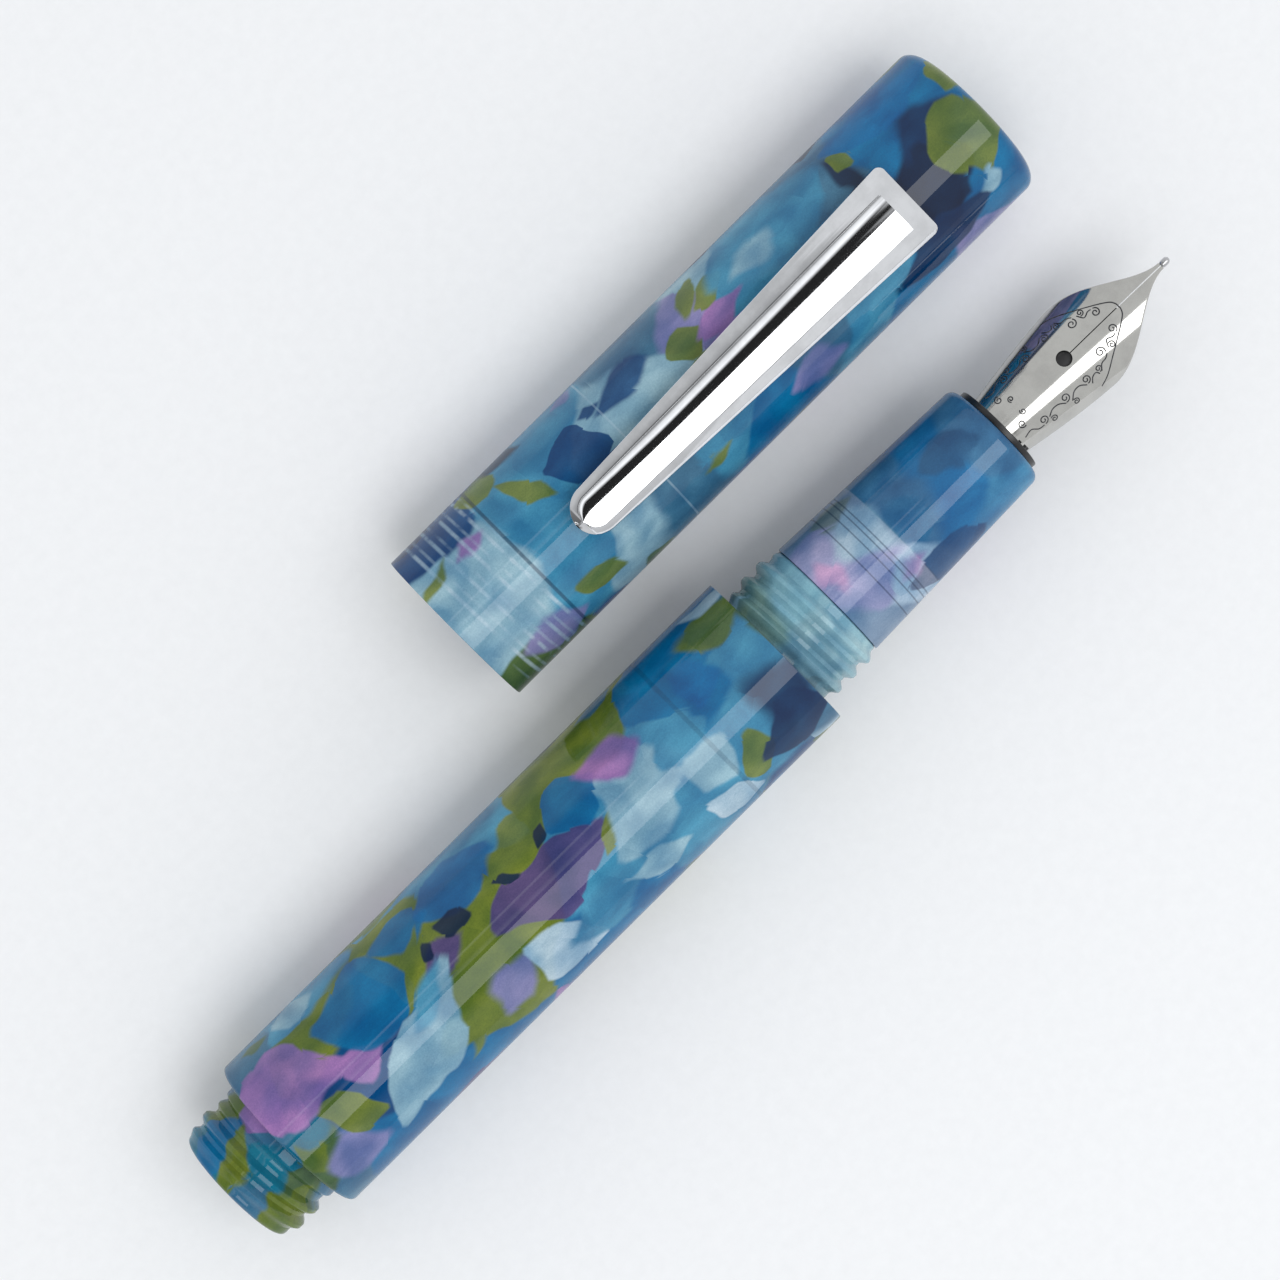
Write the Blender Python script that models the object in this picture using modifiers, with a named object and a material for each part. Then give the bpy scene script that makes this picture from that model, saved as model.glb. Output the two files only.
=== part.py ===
"""Pocket fountain pen lying open on a table, its screw cap beside it. Metres, +Z up.

The pen's axis runs along +X with the nib forward, and both tubes rest on z = 0. The constants are in
millimetres: an X is a place along the pen, an R a radius, a W a height above the cap's axis.
"""

import math
from collections import namedtuple

import bmesh
import bpy
from mathutils import Matrix, Vector

MM = 0.001
COLLECTION = "fountain_pen"
CUTTERS = "cutters"
TUBE_SIDES = 40
INNER_SIDES = 24
ROD_SIDES = 16
MERGE = 1e-6
GAP = 0.02
CHAMFER = 0.15

# Where the two halves lie: each on the lowest of its flat facets
BARREL_R = 7.0
CAP_R = 6.9
FLAT_SHARE = math.cos(math.pi / TUBE_SIDES)
PEN_AXIS = (0.0, -9.1, BARREL_R * FLAT_SHARE)
CAP_AXIS = (0.0, 9.2, CAP_R * FLAT_SHARE)
CLIP_ROLL = math.radians(9.0)
NIB_ROLL = math.radians(-8.0)

# Barrel
TAIL_X = -49.8
TAIL_FACE_R = 4.5
TAIL_ROUND = 0.42
TAIL_THREAD_END_X = -45.35
TAIL_STEP_X = -44.1
STEP_EDGE = (0.38, 0.45)
SHOULDER_X = 7.9
BARREL_FRONT_X = 13.4
SOCKET_R = 4.5
SOCKET_END_X = -0.4
BORE_R = 4.2
BORE_END_X = -44.4
BORE_CONE = 2.4

# Cap thread, the same on the front and on the tail of the barrel
THREAD_PITCH = 1.6
MALE_ROOT_R = 5.12
MALE_CREST_R = 5.63
FEMALE_ROOT_R = 5.75
FEMALE_CREST_R = 5.3
NECK_R = 5.5
NECK_RUN = 0.3
# The rows of one turn: share of the pitch, and height from root to crest
THREAD_ROWS = ((0.0, 0.0), (0.34, 1.0), (0.72, 1.0))
THREAD_FADE = 0.45

# Section
SECTION_FRONT_X = 31.3
SECTION_REAR_R = 5.25
SECTION_FRONT_R = 4.72
SECTION_LIP = (0.7, 0.64)
TENON_R = 4.4
TENON_THREAD_ROOT_R = 4.15
TENON_THREAD_CREST_R = 4.45
TENON_THREAD_PITCH = 1.25
TENON_THREAD_X = (1.1, 5.45)
TENON_END_X = 0.0
CONVERTER_BORE_R = 3.65
MOUTH_BORE_R = 3.15
MOUTH_BORE_X = 12.2
HOUSING_SEAT_X = 20.0
HOUSING_BORE_R = 3.4
O_RING_X = 12.85
O_RING_R = 4.19
O_RING_TUBE_R = 0.26
GROOVE_HALF = 0.34
GROOVE_R = 3.87

# Nib unit
FLANGE_R = 3.85
FLANGE_FRONT_X = 31.82
FLANGE_KEY_REACH = 2.35
FLANGE_KEY_HALF = 0.2
HOUSING_R = 3.35
HOUSING_THREAD_DEPTH = 0.15
HOUSING_THREAD_PITCH = 0.75
HOUSING_THREAD_X = (20.6, 23.25)
HOUSING_REAR_X = 20.1
HOUSING_FLOOR_X = 20.5
NIB_BORE_R = 2.86
NIPPLE_R = 1.25
NIPPLE_BORE_R = 0.55
NIPPLE_END_X = 13.4
NIB_REAR_X = 22.0
NIB_COLLAR_X = 30.6
NIB_END_X = 48.98
NIB_TIP_X = 49.8
NIB_SHANK_R = 2.8
NIB_SHANK_HALF = 2.6
NIB_BASE_HALF = 2.76
NIB_SHOULDER_X = 40.5
NIB_SHOULDER_HALF = 3.87
NIB_END_HALF = 0.3
NIB_HOLLOW = 1.75
NIB_THICK = 0.22
NIB_FLARE = 0.17
NIB_DROOP = 0.0055
BREATHER_X = 38.7
BREATHER_R = 0.63
SLIT_WIDTH = 0.08
TIPPING_R = 0.4
FEED_REAR_X = 20.6
FEED_TAPER_X = 38.0
FEED_TIP_X = 44.3
FEED_TIP_HALF = 0.45
FEED_R = 2.45
FEED_CLEAR = 0.12
FEED_FINS = 9
FIN_FIRST_X = 33.2
FIN_PITCH = 0.72
FIN_SLOT = 0.26
FIN_TOP = -0.9
FIN_RISE = 0.06

# Converter
TUBE_R = 3.5
TUBE_BORE_R = 3.0
TUBE_REAR_X = -16.0
MOUTH_FRONT_X = 19.2
MOUTH_REAR_X = 11.5
MOUTH_SEAT_X = 10.0
MOUTH_SOCKET_X = 12.9
MOUTH_SOCKET_R = 1.3
MOUTH_R = 3.05
MOUTH_COLLAR_R = 3.45
INK_WAY_R = 0.9
PLUG_R = 2.95
PLUG_END_X = 7.0
FERRULE_R = 3.75
FERRULE_SEAT_R = 3.55
FERRULE_FRONT_X = -12.0
FERRULE_REAR_X = -24.2
FERRULE_RING_X = -13.4
FERRULE_RING_DEPTH = 0.09
SLEEVE_R = 2.35
SLEEVE_HEAD_R = 2.8
SLEEVE_BORE_R = 1.45
SLEEVE_FRONT_X = -16.4
SLEEVE_STEP_X = -18.5
SLEEVE_REAR_X = -29.0
SLEEVE_CLEAR = 0.07
KNOB_R = 3.2
KNOB_NECK_R = 3.0
KNOB_BORE_R = 2.4
KNOB_FRONT_X = -24.3
KNOB_NECK = 0.7
KNOB_REAR_X = -36.0
KNOB_FLUTES = 18
KNOB_FLUTE_R = 0.16
ROD_BORE_R = 1.6
ROD_BORE_END_X = -34.4
ROD_CREST_R = 1.3
ROD_ROOT_R = 1.08
ROD_LEAD = 3.25
ROD_FRONT_X = 4.0
ROD_THREAD_X = 0.7
ROD_REAR_X = -20.0
HEAD_FRONT_X = 5.2
HEAD_REAR_X = 1.6
HEAD_R = 2.7
HEAD_BORE_R = 1.36
SEAL_PLACES = {"piston_seal_front": 4.35, "piston_seal_rear": 2.45}
SEAL_GROOVE_HALF = 0.35
SEAL_GROOVE_R = 2.33
SEAL_R = 2.66
SEAL_TUBE_R = 0.29
BALL_R = 0.75
BALL_X = 6.08
RING_STEPS = 8

# Cap
CAP_MOUTH_X = -8.1
CAP_MOUTH_R = 6.05
CAP_THREAD_END_X = -2.2
CAP_RELIEF_END_X = -0.9
CAP_BORE_R = 5.4
CAP_BORE_STEP_X = 11.0
CAP_BORE_STEP = 0.05
CAP_BORE_ROUND_X = 38.9
CAP_BORE_END_X = 40.6
CAP_END_X = 47.5
CAP_CROWN = 0.3
CAP_END_EDGE = (1.15, 1.5)

# Clip: half widths across, and W outwards, in a frame rolled about the cap's axis
CLIP_TIP_X = 3.8
CLIP_ROOT_X = 38.4
CLIP_ROOT_HALF = 3.35
CLIP_TIP_HALF = 1.9
CLIP_TOP_ROOT_HALF = 1.82
CLIP_TOP_TIP_HALF = 1.32
CLIP_FOOT_ROOT_W = 7.12
CLIP_FOOT_TIP_W = 7.85
CLIP_TOP_ROOT_W = 9.35
CLIP_TOP_TIP_W = 8.8
CLIP_BEVEL_SLOPE = 0.65
CLIP_CROWN = 0.07
CLIP_ROOT_BEVEL = 1.6
CLIP_ROOT_CORNER = 0.6
CLIP_TIP_BEVEL = 0.55
CLIP_TIP_BLUNT = 0.035
CLIP_BUMP_X = 6.6
CLIP_BUMP_HALF = 1.8
CLIP_BUMP_W = 6.98
CLIP_PIVOT_W = 6.1
POST_X = 36.6
POST_SIZE = (2.3, 4.1)
POST_BOTTOM_W = 5.0
POST_TOP_W = 7.52
SLOT_CLEAR = 0.15
SLOT_W = (4.0, 8.5)
SCREW_R = 0.6
SCREW_CLEAR = 0.06
SCREW_TOP_W = 7.4
SCREW_HEAD_R = 1.3
SCREW_HEAD_THICK = 0.75
SCREW_SLOT = (4.0, 0.32, 0.3)
WASHER_SIZE = (3.2, 3.4)
WASHER_TOP_W = 4.8
WASHER_THICK = 0.5

# Colour, roughness, metallic and transmission of each finish
FINISHES = {
    "resin": ((0.13, 0.36, 0.62), 0.08, 0.0, 0.15),
    "section_resin": ((0.16, 0.33, 0.52), 0.08, 0.0, 0.3),
    "rubber": ((0.02, 0.02, 0.022), 0.6, 0.0, 0.0),
    "black_plastic": ((0.02, 0.02, 0.02), 0.35, 0.0, 0.0),
    "feed_plastic": ((0.025, 0.025, 0.028), 0.45, 0.0, 0.0),
    "nib_steel": ((0.75, 0.75, 0.74), 0.15, 1.0, 0.0),
    "tipping_alloy": ((0.62, 0.62, 0.63), 0.3, 1.0, 0.0),
    "converter_plastic": ((0.03, 0.03, 0.035), 0.3, 0.0, 0.0),
    "clear_plastic": ((0.85, 0.9, 0.92), 0.05, 0.0, 0.9),
    "bright_plate": ((0.78, 0.78, 0.78), 0.12, 1.0, 0.0),
    "brass": ((0.72, 0.56, 0.3), 0.3, 1.0, 0.0),
    "white_plastic": ((0.75, 0.76, 0.75), 0.35, 0.0, 0.0),
    "grey_plastic": ((0.1, 0.1, 0.11), 0.4, 0.0, 0.0),
    "polished_steel": ((0.7, 0.7, 0.72), 0.1, 1.0, 0.0),
    "chrome": ((0.86, 0.86, 0.87), 0.05, 1.0, 0.0),
    "plain_steel": ((0.55, 0.55, 0.57), 0.28, 1.0, 0.0),
}

Thread = namedtuple("Thread", "crest_r pitch")


def clear_scene():
    for obj in list(bpy.data.objects):
        bpy.data.objects.remove(obj, do_unlink=True)


def add_collection(name):
    bpy.context.scene.collection.children.link(bpy.data.collections.new(name))


def material(name, colour, roughness, metallic, transmission):
    made = bpy.data.materials.new(name)
    made.use_nodes = True
    shader = made.node_tree.nodes["Principled BSDF"]
    shader.inputs["Base Color"].default_value = (*colour, 1.0)
    shader.inputs["Roughness"].default_value = roughness
    shader.inputs["Metallic"].default_value = metallic
    shader.inputs["Transmission Weight"].default_value = transmission
    return made


def place(name, mesh, where, finish=None, roll=0.0):
    """An object at `where` in millimetres, turned `roll` about X. One without a finish is a cutter."""
    obj = bpy.data.objects.new(name, mesh)
    obj.location = Vector(where) * MM
    obj.rotation_euler.x = roll
    bpy.data.collections[COLLECTION if finish else CUTTERS].objects.link(obj)
    if finish:
        mesh.materials.append(material(name, *FINISHES[finish]))
    else:
        obj.hide_render = True
        obj.display_type = "WIRE"
    return obj


def mesh_from(name, work, smooth=35.0):
    """The mesh of a bmesh in millimetres, shaded smooth up to an angle."""
    bmesh.ops.scale(work, vec=(MM, MM, MM), verts=work.verts)
    bmesh.ops.recalc_face_normals(work, faces=work.faces)
    mesh = bpy.data.meshes.new(name)
    work.to_mesh(mesh)
    work.free()
    mesh.shade_smooth()
    mesh.set_sharp_from_angle(angle=math.radians(smooth))
    return mesh


def boolean(target, cutter, operation="DIFFERENCE"):
    modifier = target.modifiers.new(operation.title(), "BOOLEAN")
    modifier.operation = operation
    modifier.solver = "EXACT"
    modifier.object = cutter


def block_mesh(name, low, high, upright_edge_round=0.0):
    """A box between two corners. Its upright edges can be rounded."""
    low = Vector(low)
    high = Vector(high)
    work = bmesh.new()
    shape = Matrix.Translation((low + high) / 2) @ Matrix.Diagonal((*(high - low), 1.0))
    bmesh.ops.create_cube(work, size=1.0, matrix=shape)
    if upright_edge_round:
        upright = [e for e in work.edges if abs(e.verts[0].co.z - e.verts[1].co.z) > GAP]
        bmesh.ops.bevel(work, geom=upright, offset=upright_edge_round, segments=4, profile=0.5,
                        affect="EDGES")
    return mesh_from(name, work)


def upright_rod_mesh(name, x, radius, low, high, sides=ROD_SIDES):
    work = bmesh.new()
    shape = Matrix.Translation((x, 0.0, (low + high) / 2))
    bmesh.ops.create_cone(work, cap_ends=True, segments=sides, radius1=radius, radius2=radius,
                          depth=high - low, matrix=shape)
    return mesh_from(name, work)


def corner(x, r, run, drop, steps=2):
    """A rounded edge from (x, r - drop) on a flat face to (x + run, r) on the side."""
    angles = [math.pi / 2 * k / steps for k in range(steps + 1)]
    return [(x + run * (1 - math.cos(a)), r - drop * (1 - math.sin(a))) for a in angles]


def turned(name, profile, where, finish, sides=INNER_SIDES):
    """Turns a profile of (x, r) points about X. One that never meets the axis is closed into a ring."""
    mesh = bpy.data.meshes.new(name)
    last = len(profile) - 1
    edges = [(k, k + 1) for k in range(last)]
    if profile[0][1] > 0:
        edges.append((last, 0))
    mesh.from_pydata([(x * MM, r * MM, 0.0) for x, r in profile], edges, [])
    obj = place(name, mesh, where, finish)
    screw = obj.modifiers.new("Turn", "SCREW")
    screw.axis = "X"
    screw.steps = sides
    screw.render_steps = sides
    screw.use_merge_vertices = True
    screw.merge_threshold = MERGE
    screw.use_smooth_shade = True
    ends = zip(profile, profile[1:] + profile[:1])
    turned_area = sum(x0 * r1 - x1 * r0 for (x0, r0), (x1, r1) in ends)
    screw.use_normal_flip = turned_area < 0
    return obj


class Surface:
    """Collects faces, joining points that lie in the same place."""

    def __init__(self):
        self.work = bmesh.new()
        self.found = {}

    def vertex(self, co):
        key = tuple(round(c * 1e5) for c in co)
        if key not in self.found:
            self.found[key] = self.work.verts.new(co)
        return self.found[key]

    def face(self, corners):
        loop = list(dict.fromkeys(self.vertex(co) for co in corners))
        if len(loop) > 2:
            self.work.faces.new(loop)


def threaded(name, profile, where, finish, sides=TUBE_SIDES):
    """A turned solid with helical threads. A Thread in the profile lies between its two root points."""
    surface = Surface()
    points = [item for item in profile if not isinstance(item, Thread)]
    threads = {}
    for place_in_list, item in enumerate(profile):
        if isinstance(item, Thread):
            threads[place_in_list - len(threads) - 1] = item
    if points[0][1] > 0:
        points.append(points[0])

    def on_circle(x, r, j):
        angle = 2 * math.pi * (j % sides + 0.5) / sides - math.pi / 2
        return (x, r * math.cos(angle), r * math.sin(angle))

    def ring_point(i, j):
        return on_circle(*points[i], j)

    def thread_point(start, end, root, thread, row, j):
        turn, step = divmod(row, len(THREAD_ROWS))
        share, height = THREAD_ROWS[step]
        x = min(max(start + thread.pitch * (turn + share + j / sides), start), end)
        fade = min(1.0, min(x - start, end - x) / (THREAD_FADE * thread.pitch))
        return on_circle(x, root + (thread.crest_r - root) * height * fade, j)

    def patch(point, row):
        for j in range(sides):
            surface.face([point(row, j), point(row + 1, j), point(row + 1, j + 1), point(row, j + 1)])

    for i, (x, r) in enumerate(points[:-1]):
        if i not in threads:
            patch(ring_point, i)
            continue
        start, end = sorted((x, points[i + 1][0]))
        turns = math.ceil((end - start) / threads[i].pitch)
        for row in range(-len(THREAD_ROWS), turns * len(THREAD_ROWS)):
            patch(lambda row, j: thread_point(start, end, r, threads[i], row, j), row)
    return place(name, mesh_from(name, surface.work), where, finish)


def torus_profile(x, ring_r, tube_r):
    angles = [2 * math.pi * k / RING_STEPS for k in range(RING_STEPS)]
    return [(x + tube_r * math.cos(a), ring_r + tube_r * math.sin(a)) for a in angles]


def lofted_mesh(name, sections, smooth=35.0):
    """A solid skinned over closed sections that have the same number of points."""
    surface = Surface()
    for near, far in zip(sections, sections[1:]):
        for k in range(len(near)):
            surface.face([near[k - 1], far[k - 1], far[k], near[k]])
    surface.face(sections[0])
    surface.face(sections[-1])
    return mesh_from(name, surface.work, smooth)


def spread(start, end, count):
    return [start + (end - start) * k / count for k in range(count + 1)]


def make_barrel():
    thread = Thread(MALE_CREST_R, THREAD_PITCH)
    tail = [(TAIL_X, 0.0)] + corner(TAIL_X, MALE_ROOT_R, TAIL_ROUND, MALE_ROOT_R - TAIL_FACE_R)
    tail += [thread, (TAIL_THREAD_END_X, MALE_ROOT_R), (TAIL_THREAD_END_X + NECK_RUN, NECK_R)]
    tail += [(TAIL_STEP_X, NECK_R)] + corner(TAIL_STEP_X, BARREL_R, *STEP_EDGE)
    front = [(SHOULDER_X - CHAMFER, BARREL_R), (SHOULDER_X, BARREL_R - CHAMFER), (SHOULDER_X, MALE_ROOT_R)]
    front += [thread, (BARREL_FRONT_X - CHAMFER, MALE_ROOT_R), (BARREL_FRONT_X, MALE_ROOT_R - CHAMFER)]
    socket = [(BARREL_FRONT_X, SOCKET_R), (SOCKET_END_X, SOCKET_R), (SOCKET_END_X, BORE_R)]
    bore = [(BORE_END_X, BORE_R), (BORE_END_X - BORE_CONE, 0.0)]
    threaded("barrel", tail + front + socket + bore, PEN_AXIS, "resin")


def make_section():
    rear = BARREL_FRONT_X + GAP
    run, drop = SECTION_LIP
    lip = [(SECTION_FRONT_X, HOUSING_BORE_R)] + corner(SECTION_FRONT_X, SECTION_FRONT_R, -run, drop, 3)
    grip = [(rear + CHAMFER, SECTION_REAR_R), (rear, SECTION_REAR_R - CHAMFER), (rear, TENON_R)]
    groove = [(O_RING_X + GROOVE_HALF, TENON_R), (O_RING_X + GROOVE_HALF, GROOVE_R)]
    groove += [(O_RING_X - GROOVE_HALF, GROOVE_R), (O_RING_X - GROOVE_HALF, TENON_R)]
    thread_rear, thread_front = TENON_THREAD_X
    tenon = [(thread_front + CHAMFER, TENON_R), (thread_front, TENON_THREAD_ROOT_R)]
    tenon += [Thread(TENON_THREAD_CREST_R, TENON_THREAD_PITCH), (thread_rear, TENON_THREAD_ROOT_R)]
    tenon += [(TENON_END_X + CHAMFER, TENON_THREAD_ROOT_R), (TENON_END_X, TENON_THREAD_ROOT_R - CHAMFER)]
    bore = [(TENON_END_X, CONVERTER_BORE_R), (MOUTH_BORE_X, CONVERTER_BORE_R), (MOUTH_BORE_X, MOUTH_BORE_R)]
    seat = [(HOUSING_SEAT_X, MOUTH_BORE_R), (HOUSING_SEAT_X, HOUSING_BORE_R)]
    threaded("section", lip + grip + groove + tenon + bore + seat, PEN_AXIS, "section_resin")
    ring = torus_profile(O_RING_X, O_RING_R, O_RING_TUBE_R)
    turned("section_o_ring", ring, PEN_AXIS, "rubber")


def make_housing():
    seat = SECTION_FRONT_X + GAP
    thread_rear, thread_front = HOUSING_THREAD_X
    root = HOUSING_R - HOUSING_THREAD_DEPTH
    flange = [(FLANGE_FRONT_X, NIB_BORE_R), (FLANGE_FRONT_X, FLANGE_R - CHAMFER)]
    flange += [(FLANGE_FRONT_X - CHAMFER, FLANGE_R), (seat, FLANGE_R), (seat, HOUSING_R)]
    body = [(thread_front + CHAMFER, HOUSING_R), (thread_front, root)]
    body += [Thread(HOUSING_R, HOUSING_THREAD_PITCH), (thread_rear, root), (HOUSING_REAR_X, root)]
    nipple = [(HOUSING_REAR_X, NIPPLE_R), (NIPPLE_END_X + CHAMFER, NIPPLE_R)]
    nipple += [(NIPPLE_END_X, NIPPLE_R - CHAMFER), (NIPPLE_END_X, NIPPLE_BORE_R)]
    floor = [(HOUSING_FLOOR_X, NIPPLE_BORE_R), (HOUSING_FLOOR_X, NIB_BORE_R)]
    profile = flange + body + nipple + floor
    housing = threaded("nib_housing", profile, PEN_AXIS, "black_plastic", INNER_SIDES)
    centre = Vector((FLANGE_FRONT_X, -FLANGE_KEY_REACH, FLANGE_KEY_REACH))
    half = Vector((FLANGE_KEY_HALF,) * 3)
    key = place("flange_key", block_mesh("flange_key", centre - half, centre + half), PEN_AXIS)
    boolean(housing, key, "UNION")


def nib_half_width(x):
    if x <= FLANGE_FRONT_X:
        share = max(0.0, (x - NIB_COLLAR_X) / (FLANGE_FRONT_X - NIB_COLLAR_X))
        return NIB_SHANK_HALF + (NIB_BASE_HALF - NIB_SHANK_HALF) * share
    if x <= NIB_SHOULDER_X:
        share = (x - FLANGE_FRONT_X) / (NIB_SHOULDER_X - FLANGE_FRONT_X)
        bow = (share + math.sin(share * math.pi / 2)) / 2
        return NIB_BASE_HALF + (NIB_SHOULDER_HALF - NIB_BASE_HALF) * bow
    share = min(1.0, (x - NIB_SHOULDER_X) / (NIB_END_X - NIB_SHOULDER_X))
    fall = max(0.0, math.cos(share * math.pi / 2)) ** NIB_HOLLOW
    return NIB_END_HALF + (NIB_SHOULDER_HALF - NIB_END_HALF) * fall


def nib_arch(x):
    """The radius of the nib's arch at x, and the height of its crown above the pen's axis."""
    ahead = max(0.0, x - FLANGE_FRONT_X)
    return NIB_SHANK_R + NIB_FLARE * ahead, NIB_SHANK_R - NIB_DROOP * ahead**2


def nib_section(x, columns=12):
    radius, crown = nib_arch(x)
    reach = math.asin(nib_half_width(x) / radius)
    angles = spread(-reach, reach, columns)
    rims = []
    for r in (radius, radius - NIB_THICK):
        rims.append([(x, r * math.sin(a), crown - radius + r * math.cos(a)) for a in angles])
    return rims[0] + rims[1][::-1]


def make_nib():
    stations = [NIB_REAR_X, NIB_COLLAR_X] + spread(FLANGE_FRONT_X, NIB_SHOULDER_X, 6)
    stations += spread(NIB_SHOULDER_X, NIB_END_X, 12)[1:]
    mesh = lofted_mesh("nib", [nib_section(x) for x in stations])
    nib = place("nib", mesh, PEN_AXIS, "nib_steel", NIB_ROLL)
    hole = upright_rod_mesh("breather_cutter", BREATHER_X, BREATHER_R, NIB_SHANK_R / 4, NIB_SHANK_R * 2)
    boolean(nib, place("breather_cutter", hole, PEN_AXIS, roll=NIB_ROLL))
    low = (BREATHER_X, -SLIT_WIDTH / 2, -NIB_SHANK_R)
    high = (NIB_TIP_X, SLIT_WIDTH / 2, NIB_SHANK_R * 2)
    boolean(nib, place("slit_cutter", block_mesh("slit_cutter", low, high), PEN_AXIS, roll=NIB_ROLL))


def make_tipping():
    height = nib_arch(NIB_END_X)[1] - NIB_THICK / 2
    centre = Vector((0.0, -height * math.sin(NIB_ROLL), height * math.cos(NIB_ROLL)))
    back = NIB_END_X + GAP
    bead = [(back, 0.0)] + corner(back, TIPPING_R, TIPPING_R, TIPPING_R / 3)
    bead += reversed(corner(NIB_TIP_X, TIPPING_R, -TIPPING_R, TIPPING_R))
    turned("nib_tipping", bead, Vector(PEN_AXIS) + centre, "tipping_alloy", ROD_SIDES)


def feed_section(x, points=16):
    """A round rod under the nib that narrows to a thin lip at its tip."""
    crown = nib_arch(x)[1] - NIB_THICK - FEED_CLEAR
    share = max(0.0, (x - FEED_TAPER_X) / (FEED_TIP_X - FEED_TAPER_X))
    ease = share * share * (3 - 2 * share)
    half = FEED_R + (FEED_TIP_HALF - FEED_R) * ease
    keel = -FEED_R + (crown - FEED_TIP_HALF + FEED_R) * ease
    middle = (crown + keel) / 2 if share > 0 else 0.0
    ring = []
    for k in range(points):
        angle = 2 * math.pi * k / points
        reach = crown - middle if math.cos(angle) > 0 else middle - keel
        ring.append((x, half * math.sin(angle), middle + reach * math.cos(angle)))
    return ring


def make_feed():
    stations = [FEED_REAR_X, FLANGE_FRONT_X] + spread(FEED_TAPER_X, FEED_TIP_X, 6)
    mesh = lofted_mesh("feed", [feed_section(x) for x in stations])
    feed = place("feed", mesh, PEN_AXIS, "feed_plastic", NIB_ROLL)
    for k in range(FEED_FINS):
        x = FIN_FIRST_X + k * FIN_PITCH
        low = (x, -NIB_SHOULDER_HALF, -NIB_SHOULDER_HALF)
        high = (x + FIN_SLOT, NIB_SHOULDER_HALF, FIN_TOP + k * FIN_RISE)
        name = f"fin_cutter_{k + 1}"
        boolean(feed, place(name, block_mesh(name, low, high), PEN_AXIS, roll=NIB_ROLL))


def make_converter_mouth():
    collar = [(MOUTH_FRONT_X, MOUTH_SOCKET_R), (MOUTH_FRONT_X, MOUTH_R - CHAMFER)]
    collar += [(MOUTH_FRONT_X - CHAMFER, MOUTH_R), (MOUTH_REAR_X, MOUTH_R), (MOUTH_REAR_X, MOUTH_COLLAR_R)]
    plug = [(MOUTH_SEAT_X, MOUTH_COLLAR_R), (MOUTH_SEAT_X, PLUG_R), (PLUG_END_X + CHAMFER, PLUG_R)]
    plug += [(PLUG_END_X, PLUG_R - CHAMFER), (PLUG_END_X, INK_WAY_R)]
    socket = [(MOUTH_SOCKET_X, INK_WAY_R), (MOUTH_SOCKET_X, MOUTH_SOCKET_R)]
    turned("converter_mouth", collar + plug + socket, PEN_AXIS, "converter_plastic")


def make_converter_tube():
    front = MOUTH_SEAT_X - GAP
    tube = [(front, TUBE_BORE_R), (front, TUBE_R), (TUBE_REAR_X, TUBE_R), (TUBE_REAR_X, TUBE_BORE_R)]
    turned("converter_tube", tube, PEN_AXIS, "clear_plastic")


def make_ferrule():
    """Grips the tube's end, and holds the drive sleeve's head between the tube and its own floor."""
    floor = SLEEVE_STEP_X - SLEEVE_CLEAR
    bore = SLEEVE_R + SLEEVE_CLEAR
    pocket = SLEEVE_HEAD_R + SLEEVE_CLEAR
    tube_end = TUBE_REAR_X - GAP
    shell = [(FERRULE_FRONT_X, FERRULE_SEAT_R), (FERRULE_FRONT_X, FERRULE_R)]
    shell += [(FERRULE_RING_X + CHAMFER, FERRULE_R), (FERRULE_RING_X, FERRULE_R - FERRULE_RING_DEPTH)]
    shell += [(FERRULE_RING_X - CHAMFER, FERRULE_R), (FERRULE_REAR_X + CHAMFER, FERRULE_R)]
    shell += [(FERRULE_REAR_X, FERRULE_R - CHAMFER), (FERRULE_REAR_X, bore), (floor, bore)]
    shell += [(floor, pocket), (tube_end, pocket), (tube_end, FERRULE_SEAT_R)]
    turned("converter_ferrule", shell, PEN_AXIS, "bright_plate")


def make_drive_sleeve():
    sleeve = [(SLEEVE_FRONT_X, SLEEVE_BORE_R), (SLEEVE_FRONT_X, SLEEVE_HEAD_R)]
    sleeve += [(SLEEVE_STEP_X, SLEEVE_HEAD_R), (SLEEVE_STEP_X, SLEEVE_R)]
    sleeve += [(SLEEVE_REAR_X, SLEEVE_R), (SLEEVE_REAR_X, SLEEVE_BORE_R)]
    turned("drive_sleeve", sleeve, PEN_AXIS, "brass")


def make_knob():
    neck = KNOB_FRONT_X - KNOB_NECK
    bore_end = SLEEVE_REAR_X - KNOB_NECK / 3
    knob = [(KNOB_REAR_X, 0.0)] + corner(KNOB_REAR_X, KNOB_R, KNOB_NECK, KNOB_NECK)
    knob += [(neck, KNOB_R), (neck, KNOB_NECK_R), (KNOB_FRONT_X, KNOB_NECK_R), (KNOB_FRONT_X, KNOB_BORE_R)]
    knob += [(bore_end, KNOB_BORE_R), (bore_end, ROD_BORE_R), (ROD_BORE_END_X, ROD_BORE_R)]
    knob.append((ROD_BORE_END_X, 0.0))
    turned_knob = turned("converter_knob", knob, PEN_AXIS, "black_plastic")
    work = bmesh.new()
    for k in range(KNOB_FLUTES):
        spoke = Matrix.Rotation(2 * math.pi * k / KNOB_FLUTES, 4, "X")
        middle = Matrix.Translation(((KNOB_REAR_X + neck) / 2, 0.0, KNOB_R))
        bmesh.ops.create_cone(work, cap_ends=True, segments=6, radius1=KNOB_FLUTE_R, radius2=KNOB_FLUTE_R,
                              depth=neck - KNOB_REAR_X + KNOB_NECK,
                              matrix=spoke @ middle @ Matrix.Rotation(math.pi / 2, 4, "Y"))
    boolean(turned_knob, place("flute_cutter", mesh_from("flute_cutter", work), PEN_AXIS))


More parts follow.
